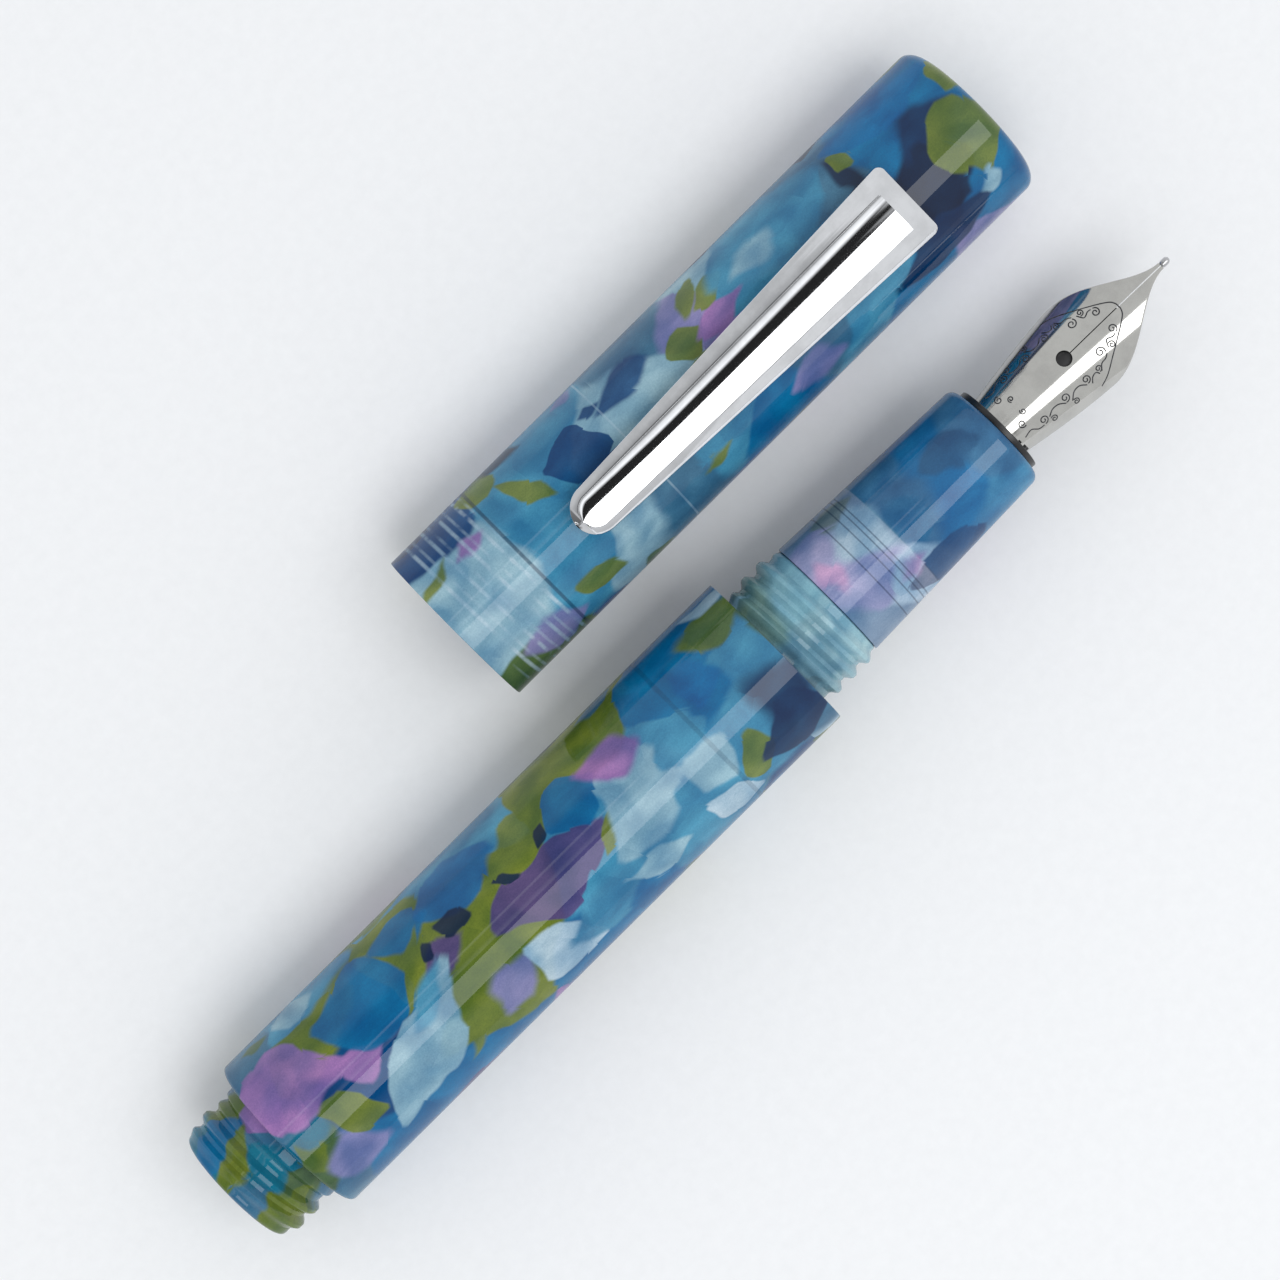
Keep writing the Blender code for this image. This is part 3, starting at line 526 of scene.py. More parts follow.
def scaled(colour, factor, lift=0.0):
    """The colour times a factor, with `lift` added to each part."""
    return tuple(min(1.0, c * factor + lift) for c in colour[:3]) + (1.0,)


class Graph:
    """Builds a tree of shader nodes. Any input takes a plain value or another node's output."""

    def __init__(self, tree):
        self.tree = tree

    def put(self, socket, value):
        if isinstance(value, bpy.types.NodeSocket):
            self.tree.links.new(value, socket)
        else:
            socket.default_value = value

    def add(self, kind, inputs, out=0, **settings):
        made = self.tree.nodes.new(kind)
        for key, value in settings.items():
            setattr(made, key, value)
        for key, value in inputs.items():
            self.put(made.inputs[key], value)
        return made.outputs[out]

    def math(self, operation, a, b=0.0):
        return self.add("ShaderNodeMath", {0: a, 1: b}, operation=operation)

    def vector(self, operation, a, b=None, out=0, scale=None):
        given = {0: a, 1: b, "Scale": scale}
        inputs = {key: value for key, value in given.items() if value is not None}
        return self.add("ShaderNodeVectorMath", inputs, out, operation=operation)

    def parts(self, vector):
        """The X, Y and Z of a vector."""
        return self.add("ShaderNodeSeparateXYZ", {0: vector}).node.outputs

    def mix(self, factor, a, b, blend="MIX"):
        return self.add("ShaderNodeMix", {0: factor, 6: a, 7: b}, 2, data_type="RGBA", blend_type=blend)

    def step(self, value, low, high):
        """Rises smoothly from 0 at `low` to 1 at `high`."""
        inputs = {"Value": value, "From Min": low, "From Max": high}
        return self.add("ShaderNodeMapRange", inputs, interpolation_type="SMOOTHSTEP")

    def band(self, value, low, high, soft):
        """1 between two values, falling off over `soft` outside them."""
        return self.math("MULTIPLY", self.step(value, low - soft, low), self.step(value, high + soft, high))

    def place(self):
        """The point in millimetres in the frame of the CAD model."""
        coordinates = self.add("ShaderNodeTexCoord", {}, "Object")
        return self.vector("SCALE", coordinates, scale=1 / MM)

    def noise(self, point, scale, detail=2.0, roughness=0.5, out="Fac"):
        inputs = {"Vector": point, "Scale": scale, "Detail": detail, "Roughness": roughness}
        return self.add("ShaderNodeTexNoise", inputs, out)

    def ramp(self, value, stops):
        node = self.tree.nodes.new("ShaderNodeValToRGB")
        self.put(node.inputs[0], value)
        while len(node.color_ramp.elements) < len(stops):
            node.color_ramp.elements.new(1.0)
        for element, (position, colour) in zip(node.color_ramp.elements, stops):
            element.position = position
            element.color = colour
        return node.outputs["Color"]


class Finish(Graph):
    """Builds the Principled BSDF of one material."""

    def __init__(self, name, **settings):
        self.material = bpy.data.materials.new(name)
        self.material.use_nodes = True
        super().__init__(self.material.node_tree)
        self.shader = self.tree.nodes["Principled BSDF"]
        for key, value in settings.items():
            self.shade(key.replace("_", " ").title().replace("Ior", "IOR"), value)

    def shade(self, key, value):
        self.put(self.shader.inputs[key], value)

    def bump(self, height, strength, distance):
        """Adds a bump whose depth is given in millimetres."""
        inputs = {"Height": height, "Strength": strength, "Distance": distance * MM}
        self.shade("Normal", self.add("ShaderNodeBump", inputs))

    def gloss(self, value, low, high):
        """Lets the roughness run from `low` to `high` as the value runs from 0 to 1."""
        inputs = {"Value": value, "To Min": low, "To Max": high}
        self.shade("Roughness", self.add("ShaderNodeMapRange", inputs))

    def edge_wear(self, amount):
        """0 on flat surfaces, up to `amount` on sharp outer edges."""
        pointiness = self.add("ShaderNodeNewGeometry", {}, "Pointiness")
        return self.math("MULTIPLY", self.step(pointiness, *WORN_EDGE), amount)


# ----------------------------------------------------------------- pearl resin

# How a display colour becomes a resin's: factor, lift and least value
RESIN_DEPTH = (0.82, -0.008, 0.002)


def resin_colour(red, green, blue):
    """A resin colour, deepened to leave room for the gloss over it."""
    factor, lift, least = RESIN_DEPTH
    return tuple(max(least, c * factor + lift) for c in linear(red, green, blue)[:3]) + (1.0,)


PALETTE = {
    "azure": resin_colour(20, 108, 158),
    "bright": resin_colour(0, 104, 160),
    "cobalt": resin_colour(0, 74, 124),
    "navy": resin_colour(0, 54, 92),
    "ink": resin_colour(28, 44, 72),
    "steel": resin_colour(66, 114, 146),
    "sky": resin_colour(68, 138, 174),
    "ice": resin_colour(134, 174, 194),
    "pearl": resin_colour(170, 198, 216),
    "olive": resin_colour(104, 122, 54),
    "moss": resin_colour(78, 104, 70),
    "orchid": resin_colour(146, 114, 174),
    "magenta": resin_colour(140, 104, 168),
    "pink": resin_colour(172, 126, 180),
    "lilac": resin_colour(124, 128, 178),
    "plum": resin_colour(82, 72, 122),
    "teal": resin_colour(36, 110, 138),
    "slate": resin_colour(44, 82, 112),
}

# Colours of the cells that show where no chip was placed, and the cells per millimetre
BACK_COLOURS = ("azure", "ice", "olive", "cobalt", "steel", "orchid", "sky", "navy", "moss", "pearl")
CHIP_SCALE = 0.2
# What bends the chips' borders: the reach in millimetres and the scale of two smooth noises and one of cells
CHIP_WARP = (1.1, 0.2)
RIPPLE = (0.3, 0.6)
CRACK = (0.2, 0.26)
NOISE_MIDDLE = (0.5, 0.5, 0.5)
# A flake is an oval with four straight cuts across its corners
FLAKE_ROUND = 0.9
FLAKE_CUT = (0.82, 0.72, 0.0)
FLAKE_COVER = 0.93
# Tones that multiply the colour: broad depth in the chips, silky pearl streaks and fine grain
CLOUD_TONES = [
    (0.34, (0.6, 0.74, 0.84, 1.0)), (0.5, (0.96, 0.97, 0.98, 1.0)), (0.66, (1.36, 1.22, 1.14, 1.0)),
]
SILK_TONES = [(0.4, (0.93, 0.94, 0.95, 1.0)), (0.75, (1.28, 1.2, 1.15, 1.0))]
GRAIN_TONES = [(0.3, (0.78, 0.82, 0.86, 1.0)), (0.7, (1.12, 1.1, 1.08, 1.0))]
SILK_STRETCH = (0.5, 1.3, 1.3)
GRAIN_COVER = 0.8

# Chips in the resin where they show from above: X, distance from the axis towards +Y, colour, edge softness
BARREL_CHIPS = (
    (-49.0, 4.1, "teal", 0.3), (-48.4, 1.3, "olive", 0.3), (-46.3, 4.2, "olive", 0.3),
    (-49.4, -1.4, "steel", 0.5), (-46.4, -0.6, "teal", 0.4), (-48.0, -4.8, "olive", 0.3),
    (-45.2, 2.6, "steel", 0.4), (-45.1, -4.6, "moss", 0.4), (-42.0, 6.0, "steel", 0.6),
    (-43.0, -6.0, "steel", 0.6), (-38.0, 6.3, "sky", 0.5), (-37.7, 4.9, "olive", 0.3),
    (-34.5, -0.8, "cobalt", 0.6), (-31.9, 0.6, "cobalt", 0.7), (-27.6, 2.0, "olive", 0.2),
    (-28.4, -0.6, "azure", 0.4), (-24.6, -1.4, "olive", 0.3), (-21.5, 1.2, "olive", 0.3),
    (-26.6, -3.6, "olive", 0.3), (-38.4, -6.2, "azure", 0.5), (-28.4, -6.2, "azure", 0.3),
    (-18.0, 6.4, "sky", 0.6), (-19.5, 2.4, "olive", 0.3), (-10.8, 6.0, "olive", 0.3),
    (-12.4, -2.2, "sky", 0.5), (-14.2, -5.6, "azure", 0.6), (-6.0, 5.7, "olive", 0.3),
    (-2.6, 2.4, "sky", 0.6), (-4.5, -3.5, "sky", 0.6), (-4.8, 0.2, "ice", 0.6),
    (2.0, 1.4, "azure", 0.6), (5.6, 2.0, "sky", 0.7), (3.4, 6.0, "azure", 0.5),
    (2.6, -1.0, "sky", 0.6), (9.2, 3.0, "moss", 0.7), (11.4, 2.4, "sky", 0.6),
    (10.0, -2.4, "steel", 0.8), (12.6, -3.0, "ice", 0.7),
)
CAP_CHIPS = (
    (-6.6, 1.4, "ice", 0.6), (-3.0, 0.4, "ice", 0.6), (-4.6, 6.3, "cobalt", 0.5),
    (-7.2, -3.0, "ice", 0.7), (-6.9, -6.4, "moss", 0.5), (1.6, 1.4, "sky", 0.6),
    (2.0, -2.0, "sky", 0.6), (6.0, 5.9, "sky", 0.5), (10.5, 1.6, "ice", 0.6),
    (15.4, 2.4, "ice", 0.7), (17.4, 5.6, "steel", 0.6), (7.6, -3.8, "ice", 0.4),
    (11.6, -4.4, "steel", 0.7), (15.8, -3.4, "sky", 0.6), (20.8, -5.8, "azure", 0.5),
    (19.9, 5.2, "lilac", 0.5), (22.4, 6.1, "ice", 0.4), (25.4, 5.2, "sky", 0.5),
    (31.0, -5.2, "sky", 0.6), (26.8, -3.4, "steel", 0.6), (35.0, -6.8, "azure", 0.5),
    (35.0, 3.0, "steel", 0.7), (40.0, 3.4, "azure", 0.5), (40.6, -1.8, "ink", 0.5),
    (47.6, 0.6, "azure", 0.3), (44.3, -5.0, "azure", 0.5), (41.2, -7.0, "lilac", 0.6),
    (44.4, 6.6, "azure", 0.4),
)
SECTION_CHIPS = (
    (15.2, 3.4, "lilac", 0.8), (14.6, 5.0, "steel", 0.6), (18.6, 1.4, "ice", 0.9),
    (17.0, -1.4, "lilac", 0.8), (14.8, -4.6, "steel", 0.6), (18.5, -3.6, "pearl", 0.6),
    (22.2, 0.6, "steel", 0.7), (22.3, 4.2, "steel", 0.8), (30.0, 2.4, "steel", 0.9),
    (29.6, -1.0, "steel", 0.8), (28.6, -3.8, "sky", 0.8), (25.6, -1.4, "azure", 0.9),
    (25.6, 4.4, "azure", 0.9),
)
# Larger flakes over the chips: X, distance from the axis, colour, half length, half width, angle, softness
BARREL_FLAKES = (
    (-43.0, 3.4, "orchid", 2.0, 2.4, 0, 0.3), (-41.6, 6.4, "moss", 1.0, 0.7, 0, 0.4),
    (-37.2, 6.6, "ice", 2.2, 1.3, 0, 0.4), (-43.2, -1.8, "olive", 1.2, 1.7, 0, 0.3),
    (-42.1, -0.6, "teal", 1.5, 1.0, -30, 0.5), (-40.6, -4.3, "lilac", 2.5, 2.2, -20, 0.9),
    (-38.3, -2.0, "olive", 2.6, 1.3, -35, 0.2), (-40.4, 2.9, "orchid", 4.6, 3.0, -22, 0.35),
    (-35.3, 0.1, "orchid", 1.5, 1.5, 0, 0.4), (-36.4, 4.3, "olive", 1.4, 0.8, -50, 0.4),
    (-34.6, -6.2, "azure", 3.0, 1.4, 0, 0.4), (-30.6, -6.8, "plum", 2.7, 0.8, 0, 0.5),
    (-28.9, 7.0, "olive", 4.4, 1.5, 0, 0.4), (-32.3, 3.4, "azure", 3.9, 3.3, -25, 0.35),
    (-26.9, 5.0, "azure", 2.6, 1.7, -10, 0.4), (-28.0, 2.6, "olive", 2.6, 0.55, 42, 0.2),
    (-21.6, 4.9, "bright", 3.5, 2.6, 5, 0.35), (-24.4, -0.2, "olive", 3.2, 1.2, 12, 0.5),
    (-25.3, 1.3, "plum", 1.7, 1.3, 10, 0.5), (-23.5, 2.7, "ink", 1.3, 0.9, -35, 0.2),
    (-25.9, 2.5, "ink", 0.5, 0.7, 20, 0.2), (-31.0, -2.6, "ice", 6.4, 2.5, 33, 0.25),
    (-28.2, 0.0, "sky", 2.6, 1.2, 30, 0.7), (-27.6, -4.2, "olive", 2.6, 0.6, 40, 0.3),
    (-23.4, -4.0, "lilac", 1.9, 1.8, 30, 0.8), (-19.0, -4.6, "pearl", 3.2, 2.2, -38, 0.3),
    (-15.4, 4.5, "olive", 2.6, 1.8, 12, 0.35), (-10.6, 7.2, "ink", 2.2, 0.7, 0, 0.4),
    (-16.2, 0.0, "plum", 5.4, 2.3, 2, 0.2), (-18.6, 2.4, "ink", 0.8, 0.5, 0, 0.2),
    (-14.4, 3.1, "ink", 0.9, 0.6, 30, 0.2), (-11.0, 2.9, "azure", 2.6, 2.0, 8, 0.2),
    (-6.9, 3.2, "magenta", 2.3, 1.7, -18, 0.7), (-5.0, 6.8, "steel", 1.8, 1.3, 0, 0.5),
    (-0.6, 4.9, "azure", 3.7, 3.3, 20, 0.3), (1.6, 3.0, "bright", 2.0, 1.8, 60, 0.6),
    (-10.6, -0.4, "olive", 1.1, 0.55, 40, 0.15), (-7.6, -1.2, "ice", 3.4, 2.6, 20, 0.5),
    (-2.2, 0.4, "sky", 1.9, 1.6, 0, 0.4), (-1.8, -2.4, "ice", 2.0, 1.6, 40, 0.4),
    (-14.8, -4.7, "sky", 3.3, 2.3, 0, 0.6), (-9.2, -5.0, "ice", 2.8, 1.4, -16, 0.3),
    (-1.8, -5.6, "pearl", 2.4, 1.5, -35, 0.2), (5.6, 5.2, "olive", 2.7, 1.5, -8, 0.5),
    (6.6, 6.4, "pearl", 2.2, 0.8, -15, 0.4), (1.4, -4.3, "olive", 1.6, 2.2, 0, 0.25),
    (1.3, -7.0, "azure", 1.3, 0.9, 0, 0.3), (5.9, -2.2, "navy", 2.4, 2.6, 30, 1.6),
    (5.5, -4.6, "navy", 3.3, 2.6, 0, 0.3), (-48.0, 4.4, "azure", 2.8, 2.0, 0, 0.3),
    (-49.6, -1.8, "steel", 1.6, 2.0, 0, 0.4), (-46.4, -1.0, "teal", 1.8, 2.2, 0, 0.4),
    (-47.6, 2.2, "olive", 3.0, 1.0, 38, 0.3), (-47.6, -5.2, "olive", 2.4, 1.8, 0, 0.3),
)
CAP_FLAKES = (
    (-6.2, 7.0, "navy", 3.0, 2.2, 0, 0.5), (-7.0, 3.2, "olive", 1.7, 0.4, 35, 0.3),
    (-3.4, 3.4, "orchid", 1.2, 0.7, 10, 0.5), (-2.6, -5.6, "lilac", 2.7, 1.8, -8, 0.6),
    (0.8, 6.2, "olive", 1.8, 1.9, -20, 0.3), (2.9, 3.8, "olive", 2.2, 0.9, -58, 0.25),
    (3.2, 6.6, "ink", 1.9, 1.0, -20, 0.6), (2.8, -4.9, "olive", 2.4, 1.1, -32, 0.25),
    (7.2, -6.8, "moss", 1.7, 1.0, 0, 0.3), (14.9, -4.8, "olive", 1.2, 0.5, 25, 0.4),
    (9.8, 6.5, "lilac", 1.3, 0.8, 10, 0.5), (7.4, 2.8, "cobalt", 2.9, 2.1, -28, 0.12),
    (10.6, 4.5, "cobalt", 1.0, 0.5, 0, 0.3), (13.9, 3.9, "cobalt", 2.7, 1.5, 4, 0.5),
    (17.2, -6.9, "bright", 4.6, 1.5, 0, 0.4), (19.4, 2.7, "olive", 1.4, 1.5, 0, 0.2),
    (21.2, 5.2, "olive", 0.9, 1.6, -20, 0.3), (23.0, 4.3, "olive", 1.7, 1.0, 15, 0.25),
    (22.9, 2.4, "orchid", 2.5, 1.1, 5, 0.3), (24.2, 7.2, "navy", 2.0, 1.2, 0, 0.4),
    (29.4, 4.9, "sky", 5.6, 3.2, 3, 0.7), (27.4, 4.4, "ice", 1.7, 1.2, 20, 0.9),
    (35.2, 6.8, "ink", 1.0, 1.0, 0, 0.5), (36.4, 3.2, "ink", 0.9, 1.7, 0, 0.6),
    (41.6, 5.4, "bright", 4.6, 2.6, 0, 0.35), (37.2, 4.0, "olive", 0.9, 0.9, 30, 0.2),
    (43.2, 1.5, "navy", 2.7, 1.8, 15, 0.8), (38.6, -5.4, "navy", 4.6, 2.0, 8, 0.35),
    (41.8, -1.8, "ink", 2.2, 2.4, 0, 0.4), (45.4, 7.6, "olive", 3.0, 0.9, 0, 0.3),
    (46.9, 4.2, "olive", 1.0, 1.7, -20, 0.2), (44.9, -0.9, "olive", 2.4, 3.2, -12, 0.25),
    (44.0, -4.6, "ice", 1.0, 0.8, 0, 0.4), (42.0, -7.2, "lilac", 2.2, 1.6, 0, 0.5),
    (25.2, -5.6, "lilac", 2.0, 1.4, 0, 0.7), (22.3, -6.9, "moss", 1.3, 1.0, 0, 0.3),
)
SECTION_FLAKES = (
    (14.7, 0.7, "pink", 1.0, 1.5, 0, 0.8), (17.9, 4.6, "moss", 1.5, 1.2, 0, 0.5),
    (27.3, 1.9, "slate", 1.9, 1.4, -10, 0.5), (21.8, -4.5, "navy", 3.6, 1.9, -14, 0.2),
    (19.2, -3.0, "pink", 1.0, 0.6, 10, 0.8),
)

# What shows through a wall: from X, to X, softness and strength of a band, and its colour
THREAD_MILK = linear(150, 190, 196)
BARREL_SHOWS = (
    (SHOULDER_X + 0.2, BARREL_FRONT_X + 2, 0.3, 0.45, THREAD_MILK),
    (SOCKET_END_X - 0.25, SOCKET_END_X, 0.1, 0.25, PALETTE["ink"]),
)
CAP_SHOWS = (
    (CAP_RELIEF_END_X + 0.25, CAP_RELIEF_END_X + 0.4, 0.12, 0.6, PALETTE["ink"]),
    (CAP_BORE_STEP_X, CAP_BORE_STEP_X + 0.08, 0.08, 0.35, PALETTE["pearl"]),
)
SECTION_SHOWS = [(x, x + 0.05, 0.07, 0.5, PALETTE["ink"]) for x in (16.8, 18.0, 18.65, 19.05)]
# The cap's thread: a bright and a fainter line in each turn, from, to and softness as shares of the pitch
BRIGHT_LINE = (0.2, 0.26, 0.12)
FAINT_LINE = (0.62, 0.66, 0.1)
FAINT_SHARE = 0.55
CAP_THREAD_SHOWS = (CAP_MOUTH_X + 1.5, CAP_RELIEF_END_X, 0.4)
CAP_THREAD_STRENGTH = 0.6
# The section is clear behind the collar's seat and dark ahead of it: where each fades in, and how strongly
CLEAR_FADE = (HOUSING_SEAT_X + 0.35, HOUSING_SEAT_X + 0.2)
CLEAR_STRENGTH = 0.3
CLEAR_TINT = linear(168, 180, 206)
DARK_FADE = (HOUSING_SEAT_X + 0.2, HOUSING_SEAT_X + 0.5)
DARK_STRENGTH = 0.35
DARK_TINT = linear(40, 96, 150)


class Resin(Finish):
    """Pearl resin: irregular chips of colour, with larger flakes over them, with soft or crisp borders."""

    def __init__(self, name, axis, chips, flakes, radius):
        super().__init__(name, specular_ior_level=0.0, coat_weight=0.65, coat_roughness=0.015, coat_ior=1.55)
        self.radius = radius
        self.point = self.vector("SUBTRACT", self.place(), axis.translation)
        self.x, self.y, self.z = self.parts(self.point)
        self.warped = self.distorted()
        self.colour = self.random_chips()
        self.add_chips(chips)
        self.add_flakes(flakes)

    def distorted(self):
        """The point, moved so that borders bend, ripple and crack."""
        shifts = []
        for reach, scale in (CHIP_WARP, RIPPLE):
            shifts.append((reach, self.noise(self.point, scale, detail=0.0, out="Color")))
        reach, scale = CRACK
        shifts.append((reach, self.cells(self.point, scale)))
        moved = self.point
        for reach, shift in shifts:
            centred = self.vector("SUBTRACT", shift, NOISE_MIDDLE)
            moved = self.vector("ADD", moved, self.vector("SCALE", centred, scale=reach * 2))
        return moved

    def cells(self, point, scale):
        """A random colour for each cell of a Voronoi pattern."""
        return self.add("ShaderNodeTexVoronoi", {"Vector": point, "Scale": scale}, "Color")

    def random_chips(self):
        pick = self.add("ShaderNodeSeparateColor", {0: self.cells(self.warped, CHIP_SCALE)})
        stops = [(k / len(BACK_COLOURS), PALETTE[c]) for k, c in enumerate(BACK_COLOURS)]
        colour = self.ramp(pick, stops)
        colour.node.color_ramp.interpolation = "CONSTANT"
        return colour

    def add_chips(self, chips):
        """Each chip covers the points that are nearer to its middle than to any before it."""
        nearest = self.radius
        for x, across, chip, soft in chips:
            up = math.sqrt(max(0.0, self.radius**2 - across**2))
            away = self.vector("DISTANCE", self.warped, (x, across, up), "Value")
            closer = self.math("SUBTRACT", nearest, away)
            self.colour = self.mix(self.step(closer, -soft, soft), self.colour, PALETTE[chip])
            nearest = self.math("MINIMUM", nearest, away)

    def add_flakes(self, flakes):
        """Each flake is drawn on the surface as if it was unrolled."""
        along, y, z = self.parts(self.warped)
        unrolled = self.math("MULTIPLY", self.math("ARCTAN2", y, z), self.radius)
        flat = self.add("ShaderNodeCombineXYZ", {0: along, 1: unrolled})
        for x, across, chip, length, width, angle, soft in flakes:
            middle = (x, self.radius * math.asin(max(-1.0, min(1.0, across / self.radius))), 0.0)
            inputs = {"Vector": flat, "Location": middle, "Rotation": (0.0, 0.0, math.radians(angle)),
                      "Scale": (length, width, 1.0)}
            inside = self.add("ShaderNodeMapping", inputs, vector_type="TEXTURE")
            away = self.math("MULTIPLY", self.vector("LENGTH", inside, out="Value"), FLAKE_ROUND)
            slant = self.vector("DOT_PRODUCT", self.vector("ABSOLUTE", inside), FLAKE_CUT, "Value")
            away = self.math("MAXIMUM", away, slant)
            fade = soft / min(length, width)
            self.tint(self.step(away, 1 + fade / 2, 1 - fade / 2), FLAKE_COVER, PALETTE[chip])

    def tint(self, cover, strength, colour):
        self.colour = self.mix(self.math("MULTIPLY", cover, strength), self.colour, colour)

    def show(self, bands):
        """Adds what shows through the wall."""
        for low, high, soft, strength, colour in bands:
            self.tint(self.band(self.x, low, high, soft), strength, colour)

    def polished(self):
        """Soft clouds inside the chips, then fine pearl grain in the colour and in the polish."""
        cloud = self.noise(self.warped, scale=0.3, detail=1.0)
        self.colour = self.mix(1.0, self.colour, self.ramp(cloud, CLOUD_TONES), "MULTIPLY")
        stretched = self.vector("MULTIPLY", self.warped, SILK_STRETCH)
        silk = self.noise(stretched, scale=0.5, detail=3.0, roughness=0.6)
        self.colour = self.mix(1.0, self.colour, self.ramp(silk, SILK_TONES), "MULTIPLY")
        grain = self.noise(self.point, scale=7.0, detail=3.0, roughness=0.7)
        self.colour = self.mix(GRAIN_COVER, self.colour, self.ramp(grain, GRAIN_TONES), "MULTIPLY")
        self.shade("Base Color", self.colour)
        self.gloss(grain, low=0.3, high=0.45)
        self.bump(self.noise(self.point, scale=0.8), strength=0.2, distance=0.006)
        return self.material


def barrel_resin():
    """Milky over the front thread, with a faint line where the socket inside ends."""
    resin = Resin("barrel_resin", PEN_AXIS, BARREL_CHIPS, BARREL_FLAKES, BARREL_R)
    resin.show(BARREL_SHOWS)
    return resin.polished()


def cap_resin():
    """The cap's thread and the steps of its bore show faintly through its wall."""
    resin = Resin("cap_resin", CAP_AXIS, CAP_CHIPS, CAP_FLAKES, CAP_R)
    turn = resin.math("DIVIDE", resin.math("ARCTAN2", resin.y, resin.z), 2 * math.pi)
    along = resin.math("DIVIDE", resin.math("SUBTRACT", resin.x, CAP_MOUTH_X), THREAD_PITCH)
    phase = resin.math("FRACT", resin.math("ADD", along, turn))
    faint = resin.math("MULTIPLY", resin.band(phase, *FAINT_LINE), FAINT_SHARE)
    lines = resin.math("ADD", resin.band(phase, *BRIGHT_LINE), faint)
    patchy = resin.step(resin.noise(resin.point, scale=0.7), low=0.3, high=0.62)
    lines = resin.math("MULTIPLY", lines, resin.band(resin.x, *CAP_THREAD_SHOWS))
    resin.tint(resin.math("MULTIPLY", lines, patchy), CAP_THREAD_STRENGTH, PALETTE["pearl"])
    resin.show(CAP_SHOWS)
    return resin.polished()


def section_resin():
    """Clearer than the barrel: the black collar inside darkens the front of it."""
    resin = Resin("section_resin", PEN_AXIS, SECTION_CHIPS, SECTION_FLAKES, SECTION_REAR_R)
    resin.tint(resin.step(resin.x, *CLEAR_FADE), CLEAR_STRENGTH, CLEAR_TINT)
    resin.tint(resin.step(resin.x, *DARK_FADE), DARK_STRENGTH, DARK_TINT)
    resin.show(SECTION_SHOWS)
    return resin.polished()


# --------------------------------------------------------------- other finishes


def polished_metal(name, colour, roughness, turned=0.0):
    """Metal with faint smudges, micro-scratches and brighter edges. `turned` adds fine lathe rings."""
    graph = Finish(name, metallic=1.0)
    point = graph.place()
    smudge = graph.noise(point, scale=0.35, detail=4.0, roughness=0.65)
    dull = scaled(colour, factor=0.86)
    bright = scaled(colour, factor=1.15)
    shade = graph.mix(graph.step(smudge, low=0.35, high=0.7), colour, dull)
    graph.shade("Base Color", graph.mix(graph.edge_wear(amount=0.2), shade, bright))
    graph.gloss(smudge, low=roughness * 0.7, high=roughness * 1.4)
    stretched = graph.vector("MULTIPLY", point, LATHE_STRETCH if turned else SCRATCH_STRETCH)
    scratches = graph.noise(stretched, scale=1.0, roughness=0.6)
    graph.bump(scratches, strength=turned or roughness / 3, distance=0.004)
    return graph.material


def moulded_plastic(name, colour, roughness, grain=0.15):
    """Moulded plastic with a fine grain, slightly uneven gloss and paler, rubbed edges."""
    graph = Finish(name)
    point = graph.place()
    cloud = graph.noise(point, scale=0.6, detail=3.0, roughness=0.6)
    light = scaled(colour, factor=1.5, lift=0.006)
    rubbed = scaled(colour, factor=2.0, lift=0.03)
    shade = graph.mix(graph.step(cloud, low=0.3, high=0.75), colour, light)
    graph.shade("Base Color", graph.mix(graph.edge_wear(amount=0.5), shade, rubbed))
    graph.gloss(cloud, low=roughness * 0.8, high=roughness * 1.25)
    graph.bump(graph.noise(point, scale=9.0, detail=3.0, roughness=0.6), strength=grain, distance=0.008)
    return graph.material


def clear_plastic():
    graph = Finish("clear_plastic", transmission_weight=1.0, ior=1.49)
    point = graph.place()
    haze = graph.noise(point, scale=0.4, detail=3.0, roughness=0.6)
    clean = linear(238, 244, 246)
    hazy = linear(214, 226, 232)
    graph.shade("Base Color", graph.mix(graph.step(haze, low=0.4, high=0.8), clean, hazy))
    graph.gloss(haze, low=0.02, high=0.08)
    graph.bump(graph.noise(point, scale=3.0), strength=0.05, distance=0.005)
    return graph.material


def engraving():
    graph = Finish("engraving", roughness=0.45, metallic=0.6)
    point = graph.place()
    fill = graph.noise(point, scale=3.0, detail=3.0, roughness=0.6)
    dark = linear(36, 38, 44)
    thin = linear(86, 86, 90)
    graph.shade("Base Color", graph.mix(graph.step(fill, low=0.35, high=0.7), dark, thin))
    graph.bump(graph.noise(point, scale=12.0), strength=0.2, distance=0.005)
    return graph.material


def pale_floor():
    graph = Finish("pale_floor", roughness=0.6, specular_ior_level=0.25)
    point = graph.place()
    fibre = graph.noise(point, scale=0.9, detail=4.0, roughness=0.65)
    graph.shade("Base Color", graph.mix(fibre, linear(226, 227, 229), linear(234, 235, 237)))
    graph.bump(graph.noise(point, scale=2.2, detail=3.0, roughness=0.6), strength=0.12, distance=0.03)
    return graph.material


# ------------------------------------------------------------------- pen pieces


